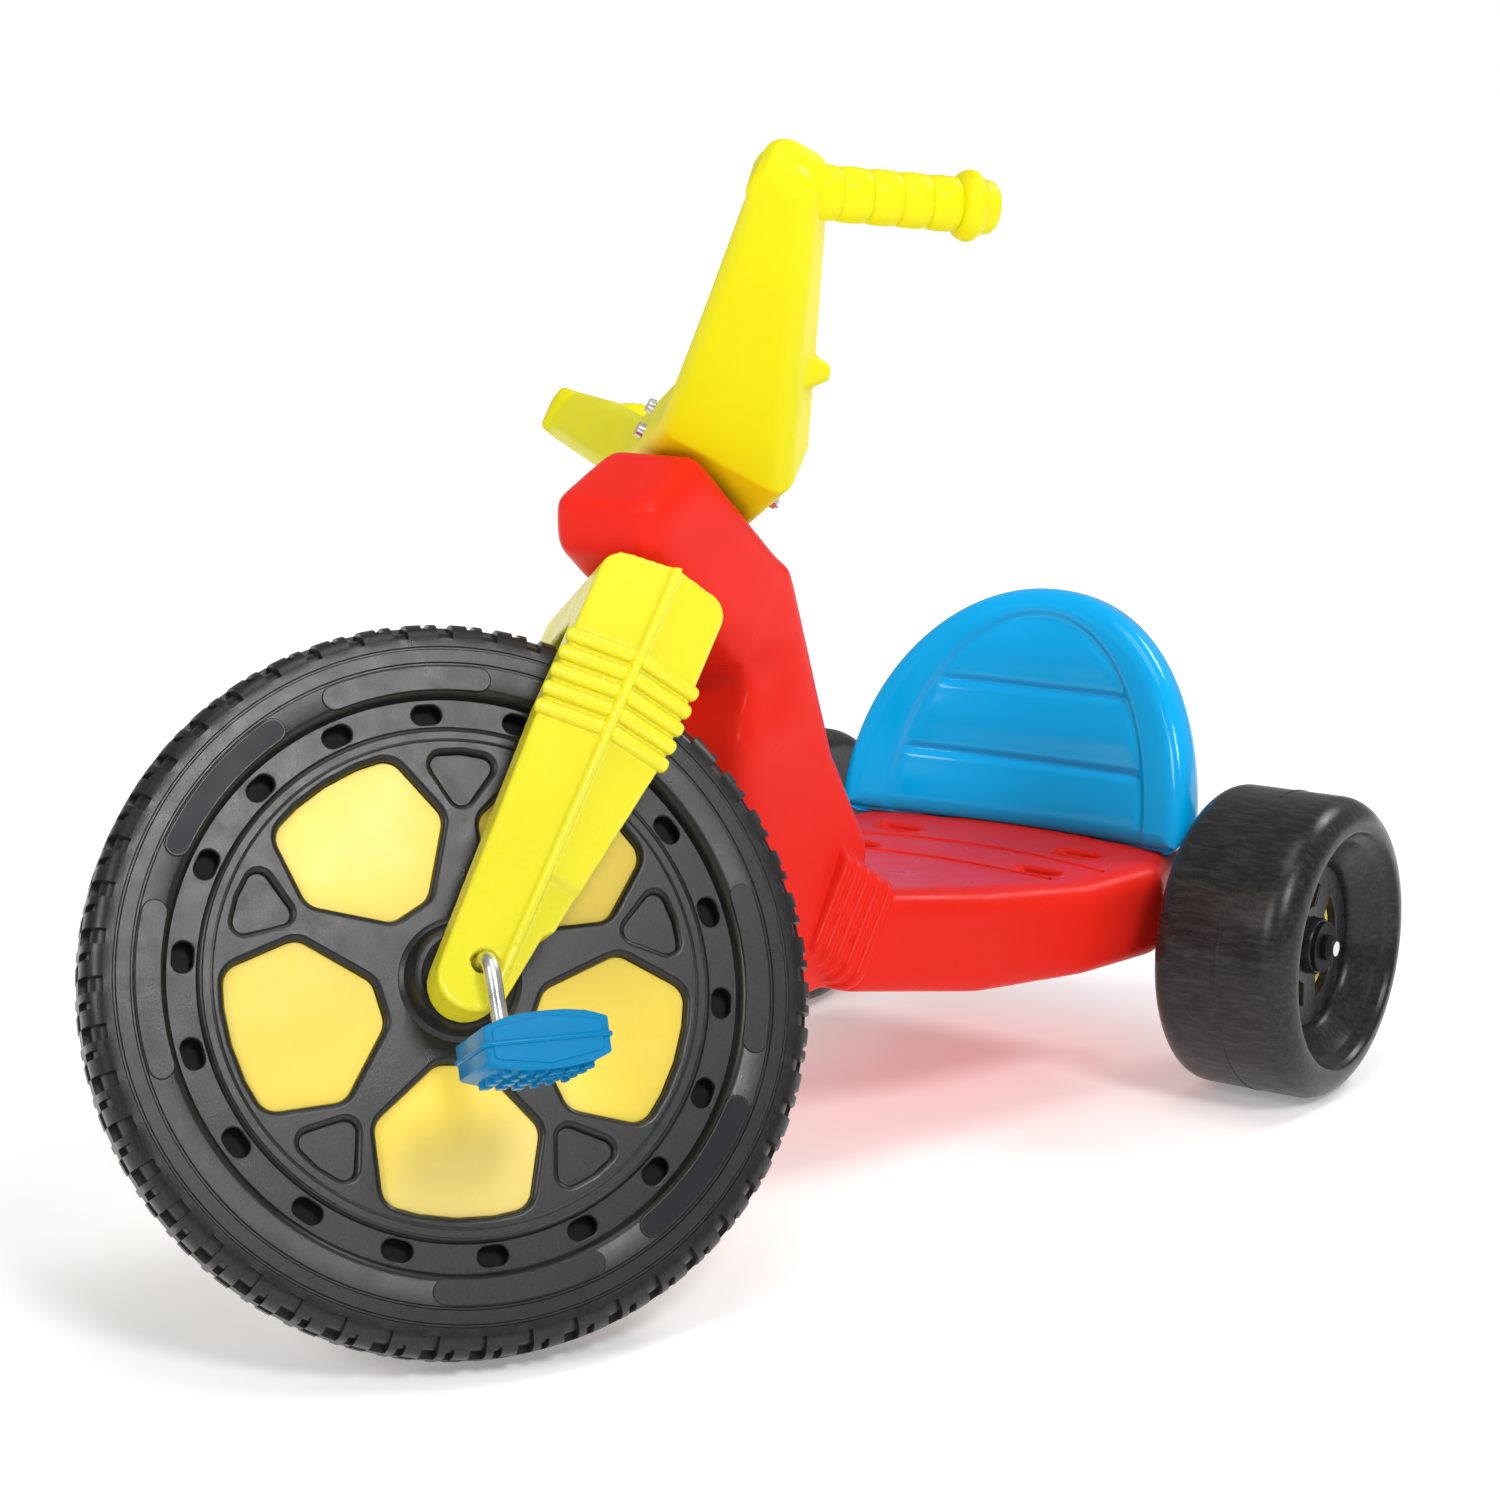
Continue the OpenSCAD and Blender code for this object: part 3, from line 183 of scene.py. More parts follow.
def panel_film(name, colour, low, high, gloss):
    """Yellow panel film: pale and deeper patches under a smooth face."""
    finish = Finish(name)
    wash = finish.noise(7, 1)
    pale = tuple(c + (1 - c) * 0.14 for c in colour)
    finish.colours(wash, [(0.32, shade(colour, 0.86)), (0.52, colour), (0.7, pale)])
    finish.roughness(finish.noise(30, 2), low, high)
    finish.bump(finish.noise(40, 1), 0.04, 0.001)
    finish.shader.inputs["Specular IOR Level"].default_value = gloss


def floor_paper(name, colour):
    """Pale studio paper with a faint tooth, brighter further out."""
    finish = Finish(name)
    tooth = finish.noise(60, 3)
    finish.colours(tooth, [(0.3, shade(colour, 0.985)), (0.7, colour)])
    finish.shader.inputs["Roughness"].default_value = 0.9
    finish.shader.inputs["Specular IOR Level"].default_value = 0.1
    finish.shader.inputs["Emission Color"].default_value = (1, 1, 1, 1)
    reach = finish.tree.nodes.new("ShaderNodeVectorMath")
    reach.operation = "LENGTH"
    finish.tree.links.new(finish.place, reach.inputs[0])
    glow = finish.tree.nodes.new("ShaderNodeMapRange")
    for socket, value in (("From Min", 0.9), ("From Max", 4.5), ("To Min", 0.26), ("To Max", 0.9)):
        glow.inputs[socket].default_value = value
    finish.tree.links.new(reach.outputs["Value"], glow.inputs["Value"])
    finish.tree.links.new(glow.outputs["Result"], finish.shader.inputs["Emission Strength"])
    return finish.material


def colour_of(context, name):
    """A colour of the tricycle's palette."""
    return tuple(getattr(context.scene.tricycle_colours, name))


# How each slot is made: maker, colour, then lowest and highest roughness and the rest
FINISHES = {
    "red_shell": (gloss_plastic, "red", 0.26, 0.38, 0.09),
    "yellow_bar": (gloss_plastic, "lemon", 0.34, 0.46, 0.16),
    "yellow_fork": (gloss_plastic, "fork_yellow", 0.22, 0.32, 0.45),
    "blue_seat": (gloss_plastic, "blue", 0.1, 0.17, 0.3),
    # The seat's blue, painted darker on the pedals as painted shade
    "pedal_blue": (gloss_plastic, "pedal_blue", 0.2, 0.3, 0.12),
    "black_front": (grained_plastic, "charcoal", 0.27, 0.36, 0.42, (1300, 1300, 80)),
    "black_rear": (grained_plastic, "rear_black", 0.24, 0.34, 0.3, (300, 60, 300)),
    "panel_yellow": (panel_film, "panel", 0.22, 0.34, 0.2),
    "zinc": (plated_steel, "zinc", 0.2, 0.36),
    "label_black": (gloss_plastic, "label", 0.3, 0.4, 0.1),
    # Also the dull black sheet in the vents of the front wheel, which is painted shade
    "bush_black": (gloss_plastic, "bush", 0.45, 0.6, 0.1),
}


def finish_for(context, slot):
    """The material of a slot, made once."""
    name = "finish_" + slot
    if name not in bpy.data.materials:
        maker, colour, *values = FINISHES[slot]
        maker(name, colour_of(context, colour), *values)
    return bpy.data.materials[name]


# Mesh helpers


def add_piece(context, name, bm, slot, body, nodes=(), crisp=None, paint=None):
    """Makes a piece of a bmesh that is in place, lets it ride on a body and stand for CAD nodes."""
    for face in bm.faces:
        face.smooth = True
    if crisp:
        bm.normal_update()
        for edge in bm.edges:
            if edge.calc_face_angle(0) > math.radians(crisp):
                edge.smooth = False
    mesh = bpy.data.meshes.new(name)
    bm.to_mesh(mesh)
    bm.free()
    mesh.materials.append(finish_for(context, paint or slot))
    piece = bpy.data.objects.new(name, mesh)
    context.scene.collection.objects.link(piece)
    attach(piece, body)
    if nodes:
        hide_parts(*nodes)


def even_squares(context, bm, voxel, rounds):
    """Fuses the solids of a bmesh into one even mesh whose edges are relaxed, as in a blow moulding."""
    mesh = bpy.data.meshes.new("cast")
    bm.to_mesh(mesh)
    bm.free()
    cast = bpy.data.objects.new("cast", mesh)
    context.scene.collection.objects.link(cast)
    squares = cast.modifiers.new("even_squares", "REMESH")
    squares.mode = "VOXEL"
    squares.voxel_size = voxel
    relax = cast.modifiers.new("relaxed_edges", "SMOOTH")
    relax.factor = 0.5
    relax.iterations = rounds
    even = bpy.data.meshes.new_from_object(cast.evaluated_get(context.evaluated_depsgraph_get()))
    bm = bmesh.new()
    bm.from_mesh(even)
    bpy.data.objects.remove(cast)
    bpy.data.meshes.remove(mesh)
    bpy.data.meshes.remove(even)
    return bm


def merged_copy(node):
    """A CAD node's shape with its loose triangles joined."""
    bm = bmesh.new()
    bm.from_mesh(frame["nodes"][node].data)
    bmesh.ops.remove_doubles(bm, verts=bm.verts, dist=1e-6)
    return bm


def relax(bm, verts, rounds):
    """Smooths vertices, a number of times."""
    for _ in range(rounds):
        bmesh.ops.smooth_vert(bm, verts=verts, factor=0.5, use_axis_x=True, use_axis_y=True, use_axis_z=True)


def ease(low, high, value):
    """0 below low, 1 above high, and a smooth rise between them."""
    t = min(1.0, max(0.0, (value - low) / (high - low)))
    return t * t * (3 - 2 * t)


def bell(value, width):
    """A smooth bump that is 1 at 0."""
    return math.exp(-((value / width) ** 2))


def bar_between(bm, start, end, radius, edge):
    """Adds a round bar with rounded ends between two points."""
    start, end = Vector(start), Vector(end)
    turn = (end - start).to_track_quat("Z", "Y").to_matrix().to_4x4()
    made = bmesh.ops.create_cone(bm, cap_ends=True, segments=14, radius1=radius, radius2=radius,
        depth=(end - start).length, matrix=Matrix.Translation((start + end) / 2) @ turn)
    edges = dict.fromkeys(e for v in made["verts"] for e in v.link_edges)
    rims = [e for e in edges if any(len(f.verts) > 4 for f in e.link_faces)]
    bmesh.ops.bevel(bm, geom=rims, offset=edge, offset_type="OFFSET", affect="EDGES", segments=4,
        profile=0.5, material=-1, clamp_overlap=True)


def lathe(bm, outline, steps):
    """Spins an outline of (radius, height) once round z."""
    verts = [bm.verts.new((r, 0, z)) for r, z in outline]
    edges = [bm.edges.new(pair) for pair in zip(verts, verts[1:])]
    bmesh.ops.spin(bm, geom=verts + edges, cent=(0, 0, 0), axis=(0, 0, 1), angle=2 * math.pi, steps=steps,
        use_merge=True)
    bmesh.ops.remove_doubles(bm, verts=bm.verts, dist=1e-4)


def plate(context, bm, loops, low, high, edge, rounds=3, matrix=None):
    """Adds a flat plate with an outline and holes, its rims rounded, between two heights, and turns it into place."""
    curve = bpy.data.curves.new("outline", "CURVE")
    curve.dimensions = "2D"
    curve.fill_mode = "BOTH"
    curve.extrude = (high - low) / 2 - edge
    curve.bevel_depth = edge
    curve.bevel_resolution = rounds
    curve.offset = -edge
    for loop in loops:
        spline = curve.splines.new("POLY")
        spline.points.add(len(loop) - 1)
        for point, (x, y) in zip(spline.points, loop):
            point.co = (x, y, 0, 1)
        spline.use_cyclic_u = True
    flat = bpy.data.objects.new("outline", curve)
    context.scene.collection.objects.link(flat)
    mesh = bpy.data.meshes.new_from_object(flat.evaluated_get(context.evaluated_depsgraph_get()))
    bpy.data.objects.remove(flat)
    bpy.data.curves.remove(curve)
    mesh.transform(Matrix.Translation((0, 0, (low + high) / 2)))
    made = bmesh.new()
    made.from_mesh(mesh)
    bpy.data.meshes.remove(mesh)
    bmesh.ops.remove_doubles(made, verts=made.verts, dist=1e-3)
    bmesh.ops.recalc_face_normals(made, faces=made.faces)
    for border in made.edges:
        if {abs(face.normal.z) > 0.9999 for face in border.link_faces} == {True, False}:
            border.smooth = False
    if matrix:
        bmesh.ops.transform(made, matrix=matrix, verts=made.verts)
    join(bm, made)


def join(bm, part):
    """Adds a shape to another one."""
    mesh = bpy.data.meshes.new("part")
    part.to_mesh(mesh)
    part.free()
    bm.from_mesh(mesh)
    bpy.data.meshes.remove(mesh)


def both_faces(bm):
    """Repeats what is on the left face of a wheel on its right face."""
    bmesh.ops.mirror(bm, geom=bm.verts[:] + bm.edges[:] + bm.faces[:], axis="Z", merge_dist=-1)


def settle(bm, matrix):
    """Puts a shape in its place, with its faces outwards."""
    bmesh.ops.transform(bm, matrix=matrix, verts=bm.verts)
    bmesh.ops.recalc_face_normals(bm, faces=bm.faces)
    return bm


# Outlines, in millimetres


def polar(radius, degrees):
    """A point on a circle."""
    return (radius * math.cos(math.radians(degrees)), radius * math.sin(math.radians(degrees)))


def circle(radius, steps=144):
    """A circle as a polygon."""
    return [polar(radius, 360 * i / steps) for i in range(steps)]


def turned(loop, degrees):
    """An outline turned about its origin."""
    c, s = polar(1, degrees)
    return [(x * c - y * s, x * s + y * c) for x, y in loop]


def shifted(loop, x, y):
    """An outline moved along its plane."""
    return [(x + u, y + v) for u, v in loop]


def rounded(corners, radius, steps=7):
    """A polygon with an arc at each corner."""
    loop = []
    for i, here in enumerate(corners):
        here = Vector(here)
        to_last = (Vector(corners[i - 1]) - here).normalized()
        to_next = (Vector(corners[(i + 1) % len(corners)]) - here).normalized()
        half = to_last.angle(to_next) / 2
        middle = here + (to_last + to_next).normalized() * radius / math.sin(half)
        start = here + to_last * radius / math.tan(half) - middle
        end = here + to_next * radius / math.tan(half) - middle
        turn = start.angle_signed(end)
        for k in range(steps + 1):
            spoke = start.copy()
            spoke.rotate(Matrix.Rotation(-turn * k / steps, 2))
            loop.append(tuple(middle + spoke))
    return loop


def slab(x, y, radius):
    """A rounded rectangle, of half sizes x and y."""
    return rounded([(-x, -y), (x, -y), (x, y), (-x, y)], radius)


def window(grow):
    """A window of the front wheel, grown or shrunk by a margin."""
    hub_end, shoulder, rim_end = 47.5 - grow, 92 + grow, 129 + grow
    arc = [polar(rim_end, a) for a in (-18, -9, 0, 9, 18)]
    corners = [polar(hub_end, -14.5), polar(shoulder, -30), *arc, polar(shoulder, 30), polar(hub_end, 14.5)]
    return rounded(corners, 12 + grow / 2)


def pocket(grow):
    """A small three-cornered pocket between two windows."""
    tip, base, crown = 94 - 1.5 * grow, 127 + grow, 127.6 + grow
    return rounded([(tip, 0), polar(base, -10), polar(crown, 0), polar(base, 10)], 6 + grow / 2)


def vent(radius, length, width):
    """A long hole with round ends that lies along a circle."""
    half, round_end = length / 2 - width / 2, [polar(width / 2, a) for a in range(0, 181, 20)]
    right = [(radius - u, half + v) for u, v in round_end]
    return right + [(2 * radius - x, -y) for x, y in right]


def arc_pad(inner, outer, degrees):
    """A curved strip with round ends between two radii."""
    middle, half = (inner + outer) / 2, (outer - inner) / 2
    bulge = math.degrees(half / middle)
    span = degrees / 2 - bulge
    arc = [2 * span * k / 24 - span for k in range(25)]
    end = [polar(1, 180 * k / 8) for k in range(1, 8)]
    loop = [polar(outer, a) for a in arc]
    loop += [polar(middle + half * u, span + bulge * v) for u, v in end]
    loop += [polar(inner, -a) for a in arc]
    return loop + [polar(middle - half * u, -span - bulge * v) for u, v in end]


def sector(inner, outer, gap, span):
    """A window between two spokes of a rear wheel."""
    low = span / 2 - math.degrees(math.asin(gap / 2 / inner))
    high = span / 2 - math.degrees(math.asin(gap / 2 / outer))
    corners = [polar(outer, -high + 2 * high * k / 6) for k in range(7)]
    return corners + [polar(inner, low - 2 * low * k / 3) for k in range(4)]


# Sizes and colours that a user would change


def length(name, text, metres):
    """A length that a user may change."""
    return bpy.props.FloatProperty(name=name, description=text, default=metres, min=0.0, unit="LENGTH", precision=4)


def count(name, text, times):
    """A number of times that a user may change."""
    return bpy.props.IntProperty(name=name, description=text, default=times, min=0)


def tone(name, text, rgb):
    """A colour that a user may change."""
    return bpy.props.FloatVectorProperty(name=name, description=text, default=rgb, size=3, min=0.0, max=1.0,
        subtype="COLOR")


class TricycleSizes(bpy.types.PropertyGroup):
    """Sizes of the moulded surfaces"""

    shell_square: length("Shell square", "Size of the even squares of the red shell", 0.0026)
    part_square: length("Part square", "Size of the even squares of the smaller mouldings", 0.0017)
    lug_depth: length("Lug depth", "Depth of the gaps between the lugs of the front tyre", 0.0042)
    window_edge: length("Window edge", "Radius of the rims of the front wheel's windows", 0.0034)
    shell_rounds: count("Shell softening", "How often the edges of the shell are relaxed", 9)
    part_rounds: count("Part softening", "How often the edges of the fork and the handlebar are relaxed", 6)


class TricycleColours(bpy.types.PropertyGroup):
    """Colours of the plastics and metals"""

    red: tone("Red", "Shell", (0.79, 0.02, 0.011))
    lemon: tone("Lemon", "Handlebar", (0.78, 0.72, 0.003))
    fork_yellow: tone("Fork yellow", "Fork", (0.81, 0.735, 0.02))
    blue: tone("Blue", "Seat", (0.0, 0.42, 0.9))
    # Painted shade: a darker copy of the seat's blue, for the pedals
    pedal_blue: tone("Pedal blue", "Pedals", (0.0, 0.2, 0.44))
    panel: tone("Panel yellow", "Panels in the wheels", (0.91, 0.69, 0.085))
    charcoal: tone("Charcoal", "Front wheel", (0.0095, 0.0095, 0.01))
    rear_black: tone("Rear black", "Rear wheels", (0.015, 0.015, 0.016))
    label: tone("Label black", "Bare labels on the front tyre", (0.022, 0.023, 0.027))
    zinc: tone("Zinc", "Crank, bolts and axle", (0.78, 0.78, 0.77))
    # Also the dull black of the sheet in the front wheel's vents, which is painted shade
    bush: tone("Bush black", "Bearings and hub plates", (0.012, 0.012, 0.013))
    paper: tone("Paper", "Studio floor", (0.95, 0.95, 0.945))


# Operators


class TRICYCLE_OT_shell(bpy.types.Operator):
    """The red shell: head, neck, bellows and pan"""

    bl_idname = "tricycle.shell"
    bl_label = "Red shell"

    # In metres, along the steering stem, away from it, or above the floor
    chin = 0.25
    neck_foot, neck_reach, neck_floor = 0.06, 0.2, 0.2
    nape_half, nape_near, nape_far, nape_ceiling = 0.032, 0.06, 0.15, 0.375
    head_floor = 0.26
    wheel_reach, wheel_half = 0.211, 0.089
    softening = {"neck": 70, "nape": 50, "head": 14}

    # In millimetres from the rear axle and the floor
    first_rib, rib_step, rib_lean = Vector((327, 0, 179)), Vector((-6.9, 0, -5.8)), 50
    rib_shares, rib_half, rib_width, rib_margin, rib_corner = (1, 1.05, 1.1, 1.16, 1.22), 39, 56, 5, 14
    rib_thick, rib_edge = 4.7, 4.4
    line_spots, line_radius, line_thick = ((55, 20.5), (101, 17)), 315, 1.1
    line_height, toe, toe_rise = 152.9, 105, 0.133
    slot_spots, slot_side = (40, 97), 72
    collar_sizes, collar_heights, collar_edge = ((45, 20), (35, 11.4)), (143, 153.5), 2.6

    def execute(self, context):
        sizes = context.scene.tricycle_sizes
        bm = even_squares(context, merged_copy("body_shell"), sizes.shell_square, sizes.shell_rounds)
        self.soften_neck(bm)
        add_piece(context, "shell", bm, "red_shell", "frame", ["body_shell"])
        self.bellows(context)
        self.deck(context)
        return {"FINISHED"}

    def soften_neck(self, bm):
        """Rounds the hollow of the neck, clear of the turning wheel, the nape and the edges of the head."""
        zones = {name: [] for name in self.softening}
        for v in bm.verts:
            up = (v.co - PIVOT).dot(STEM)
            spoke = v.co - PIVOT - STEM * up
            above = up - self.chin
            if up > self.neck_foot and above < 0.003 and spoke.length < self.neck_reach and v.co.z > self.neck_floor:
                swept = (max(0.0, self.wheel_reach ** 2 - up ** 2) ** 2 + self.wheel_half ** 4) ** 0.25
                if spoke.length < swept:
                    v.co += spoke * (swept / spoke.length - 1)
                if above < -0.003:
                    zones["neck"].append(v)
            elif above > 0 and v.co.z > self.head_floor:
                zones["head"].append(v)
            behind = v.co.x < PIVOT.x and v.co.z < self.nape_ceiling
            if abs(above) < self.nape_half and self.nape_near < spoke.length < self.nape_far and behind:
                zones["nape"].append(v)
        for name, rounds in self.softening.items():
            relax(bm, zones[name], rounds)

    def bellows(self, context):
        """Bulging ribs where the neck meets the pan."""
        bm = bmesh.new()
        lean = Matrix.Rotation(math.radians(self.rib_lean), 4, "Y")
        for i, share in enumerate(self.rib_shares):
            spot = Matrix.Translation(self.first_rib + self.rib_step * i)
            outline = slab(self.rib_half, self.rib_width * share + self.rib_margin, self.rib_corner)
            plate(context, bm, [outline], -self.rib_thick, self.rib_thick, self.rib_edge, 5, spot @ lean)
        settle(bm, ROW_FRAME)
        add_piece(context, "bellows_ribs", bm, "red_shell", "frame", crisp=40)

    def deck(self, context):
        """Contour lines and the collars of the open slots."""
        bm = bmesh.new()
        upright = Matrix.Translation((-self.line_radius, 0, 0)) @ Matrix.Rotation(math.pi / 2, 4, "X")
        for at, span in self.line_spots:
            line = bmesh.new()
            bmesh.ops.create_circle(line, segments=10, radius=self.line_thick,
                matrix=Matrix.Rotation(math.radians(-span), 4, "Z") @ upright)
            bmesh.ops.spin(line, geom=line.verts[:] + line.edges[:], cent=(0, 0, 0), axis=(0, 0, 1),
                angle=math.radians(2 * span), steps=40)
            bmesh.ops.translate(line, verts=line.verts, vec=(at + self.line_radius, 0, self.line_height))
            for v in line.verts:
                v.co.z += max(0, v.co.x - self.toe) * self.toe_rise
            join(bm, line)
        for x in self.slot_spots:
            for side in SIDES.values():
                rim = [shifted(vent(0, *size), x, side * self.slot_side) for size in self.collar_sizes]
                plate(context, bm, rim, *self.collar_heights, self.collar_edge, 4)
        settle(bm, ROW_FRAME)
        add_piece(context, "deck_lines_and_collars", bm, "red_shell", "frame", crisp=50)


class TRICYCLE_OT_seat(bpy.types.Operator):
    """The blue seat back with its rim and pads"""

    bl_idname = "tricycle.seat"
    bl_label = "Seat back"

    half, height, thick, rim = 139, 171, 38, 15
    bow, lean, foot, floor = 364, -12, (-5, 0, 153), 152.15
    pad_half, pad_height = 101, 151
    grooves = (47, 99)
    foot_round, front_round = 20, 7
    lug_spot, lug_side, lug_size, lug_heights = -17, 72, (29.4, 13.4), (127, 166)
    square_share = 0.85

    def execute(self, context):
        bm = bmesh.new()
        plate(context, bm, [self.dome()], -self.thick, 0, self.rim, 6)
        bm = even_squares(context, bm, context.scene.tricycle_sizes.part_square / MM * self.square_share, 3)
        for v in bm.verts:
            v.co = self.bowed(*v.co)
        settle(bm, Matrix.Translation(self.foot) @ Matrix.Rotation(math.radians(self.lean), 4, "Y"))
        self.round_foot(bm)
        relax(bm, bm.verts, 2)
        settle(bm, ROW_FRAME)
        add_piece(context, "seat_moulding", bm, "blue_seat", "seat_back", ["seat"])
        bm = bmesh.new()
        for side in SIDES.values():
            outline = shifted(vent(0, *self.lug_size), self.lug_spot, self.lug_side * side)
            plate(context, bm, [outline], *self.lug_heights, 2)
        settle(bm, ROW_FRAME)
        add_piece(context, "seat_lugs", bm, "blue_seat", "seat_back", crisp=30)
        return {"FINISHED"}

    def dome(self):
        """The seat's outline: a tall arch on a straight foot."""
        arch = []
        for k in range(61):
            x, y = math.cos(math.pi * k / 60), math.sin(math.pi * k / 60)
            arch.append((self.half * math.copysign(abs(x) ** 0.97, x), self.height * y ** 0.97))
        return [(self.half, -4), *arch, (-self.half, -4)]

    def bowed(self, across, up, out):
        """Where a point of the flat seat goes: forward at the sides, sunk in the pads and round at the foot."""
        low = max(0.0, self.front_round - max(0.0, up))
        tuck = self.front_round - math.sqrt(self.front_round ** 2 - low ** 2)
        out = max(tuck - self.thick, min(-tuck, out))
        forward = self.bow - math.sqrt(self.bow ** 2 - across ** 2)
        return (out + forward - self.sunk(across, up) * ease(-16, -5, out), across, up)

    def sunk(self, across, up):
        """How deep the front lies under the rim: crowned pads, a crease round them and grooves between."""
        edge = (1 - math.hypot(across / self.pad_half, max(0, up) / self.pad_height)) * 120
        inside = ease(0, 7, edge)
        deep = 3.0 * ease(-4, 6, edge) + 1.7 * bell(edge, 2.6)
        deep += inside * sum(3.4 * bell(up - groove, 2.6) for groove in self.grooves)
        stops = (-6, *self.grooves, self.pad_height)
        crown = max(math.sin(math.pi * ease(low, high, up)) for low, high in zip(stops, stops[1:]))
        return deep - inside * 1.6 * crown

    def round_foot(self, bm):
        """Stands the seat on the pan with round lower corners."""
        for v in bm.verts:
            low = max(0.0, v.co.z - self.floor)
            v.co.z = self.floor + low
            if low < self.foot_round:
                tuck = self.foot_round - math.sqrt(self.foot_round ** 2 - (self.foot_round - low) ** 2)
                limit = self.half - tuck
                v.co.y = max(-limit, min(limit, v.co.y))


class TRICYCLE_OT_fork(bpy.types.Operator):
    """The yellow fork with its ribs and parting bead"""

    bl_idname = "tricycle.fork"
    bl_label = "Fork"

    # In the steering frame: ahead, to the left, up the stem
    ridge, facet_slope = 78, 0.421
    foot_top, foot_inside = 66, 45
    step_depth, eye_depth, eye_ahead = 4.4, 7, 11
    rib_top, rib_gap, rib_count, rib_slope, rib_span, rib_radius = 191, 11.4, 5, 0.035, (1.5, 40), 4.5
    bead_low, bead_high, bead_radius = 12, 246, 2.7
    square_share = 0.94

    def execute(self, context):
        sizes = context.scene.tricycle_sizes
        bm = even_squares(context, merged_copy("fork"), sizes.part_square * self.square_share, sizes.part_rounds)
        bmesh.ops.transform(bm, matrix=STEER_FRAME.inverted(), verts=bm.verts)
        self.press_feet(bm)
        settle(bm, STEER_FRAME)
        add_piece(context, "fork_moulding", bm, "yellow_fork", "steering", ["fork"])
        self.ribs(context)
        return {"FINISHED"}

    def press_feet(self, bm):
        """Presses a step behind the crank, and the crank's eye, into each foot."""
        for v in bm.verts:
            ahead, left, up = v.co
            if abs(left) > self.foot_inside and up < self.foot_top:
                step = self.step_depth * ease(2, 5, -ahead) * ease(-60, -55, -up)
                off_eye = math.hypot(ahead - self.eye_ahead, up)
                eye = self.eye_depth * ease(-6.8, -5.4, -off_eye) * ease(60, 64, abs(left))
                v.co.y -= math.copysign(1, left) * (step + eye)

    def ribs(self, context):
        """Half-round ribs on each facet and a bead down each ridge."""
        bm = bmesh.new()
        for side in SIDES.values():
            for way in (1, -1):
                for i in range(self.rib_count):
                    top = self.rib_top - self.rib_gap * i
                    ends = [(way * a, side * (self.ridge + 0.2 - a * self.facet_slope), top + a * self.rib_slope)
                        for a in self.rib_span]
                    bar_between(bm, *ends, self.rib_radius, 2.6)
            crest = side * (self.ridge + 0.8)
            bar_between(bm, (0, crest, self.bead_low), (0, crest, self.bead_high), self.bead_radius, 1.89)
        settle(bm, STEER_FRAME)
        add_piece(context, "fork_ribs", bm, "yellow_fork", "steering", crisp=50)


class TRICYCLE_OT_handlebar(bpy.types.Operator):
    """The yellow handlebar with its grips"""

    bl_idname = "tricycle.handlebar"
    bl_label = "Handlebar"

    # In the bar's frame: ahead, to the left, up the stem
    twist = 2
    grip_spot, grip_lean = (42.2, 192.75, 431), -64
    cap_spot, cap_lean, cap_radius, cap_half = (53.3, 192, 427.4), 27, 19.8, 15.7
    root_length, root_radius, grip_reach = 22, 12, 24
    ring_step, ring_count = 17.696, 5
    ring = ((13.7, 0), (14.7, 0.06), (15.2, 0.2), (15.4, 0.5), (15.2, 0.8), (14.7, 0.94))
    flange = ((13.7, 0), (15.4, 0.6), (17.8, 2.2), (19.5, 5), (19.9, 7.6), (19.3, 10), (17.6, 12.2), (15.8, 13.4),
        (15.2, 14.6), (15.1, 18), (14.4, 20.6), (12.6, 22.4), (9.6, 23.2), (0, 23.5))
    square_share = 0.8

    def execute(self, context):
        sizes = context.scene.tricycle_sizes
        bar_frame = STEER_FRAME @ Matrix.Rotation(math.radians(self.twist), 4, "Z")
        bm = merged_copy("handlebar")
        bmesh.ops.transform(bm, matrix=bar_frame.inverted(), verts=bm.verts)
        grips = bmesh.new()
        for side in SIDES.values():
            mirror = Vector((1, side, 1))
            lean = Matrix.Translation(mirror * Vector(self.grip_spot)) @ Matrix.Rotation(
                math.radians(self.grip_lean), 4, "Y")
            self.draw_in(bm, lean)
            tilt = Matrix.Translation(mirror * Vector(self.cap_spot)) @ Matrix.Rotation(
                math.radians(self.cap_lean * side), 4, "X")
            plate(context, bm, [circle(self.cap_radius, 64)], -self.cap_half, self.cap_half, 5, 4, tilt)
            grip = bmesh.new()
            lathe(grip, self.grip_outline(), 48)
            bmesh.ops.transform(grip, verts=grip.verts, matrix=lean)
            join(grips, grip)
        bm = even_squares(context, bm, sizes.part_square / MM * self.square_share, sizes.part_rounds)
        add_piece(context, "handlebar_moulding", settle(bm, bar_frame), "yellow_bar", "steering", ["handlebar"])
        add_piece(context, "grip_sleeves", settle(grips, bar_frame), "yellow_bar", "steering", crisp=50)
        return {"FINISHED"}

    def draw_in(self, bm, lean):
        """Draws the plain grip of the copy into its root, to be covered by a sleeve."""
        for v in bm.verts:
            local = lean.inverted() @ v.co
            off_axis = math.hypot(local.x, local.y)
            if local.z > self.root_length and off_axis < self.grip_reach:
                shrink = min(1.0, self.root_radius / max(off_axis, 1e-6))
                v.co = lean @ Vector((local.x * shrink, local.y * shrink, self.root_length))

    def grip_outline(self):
        """Rings with grooves between them, a round flange and a small end."""
        outline = [(0, 0)]
        for i in range(self.ring_count):
            outline += [(radius, self.ring_step * (i + share)) for radius, share in self.ring]
        return outline + [(radius, self.ring_step * self.ring_count + along) for radius, along in self.flange]


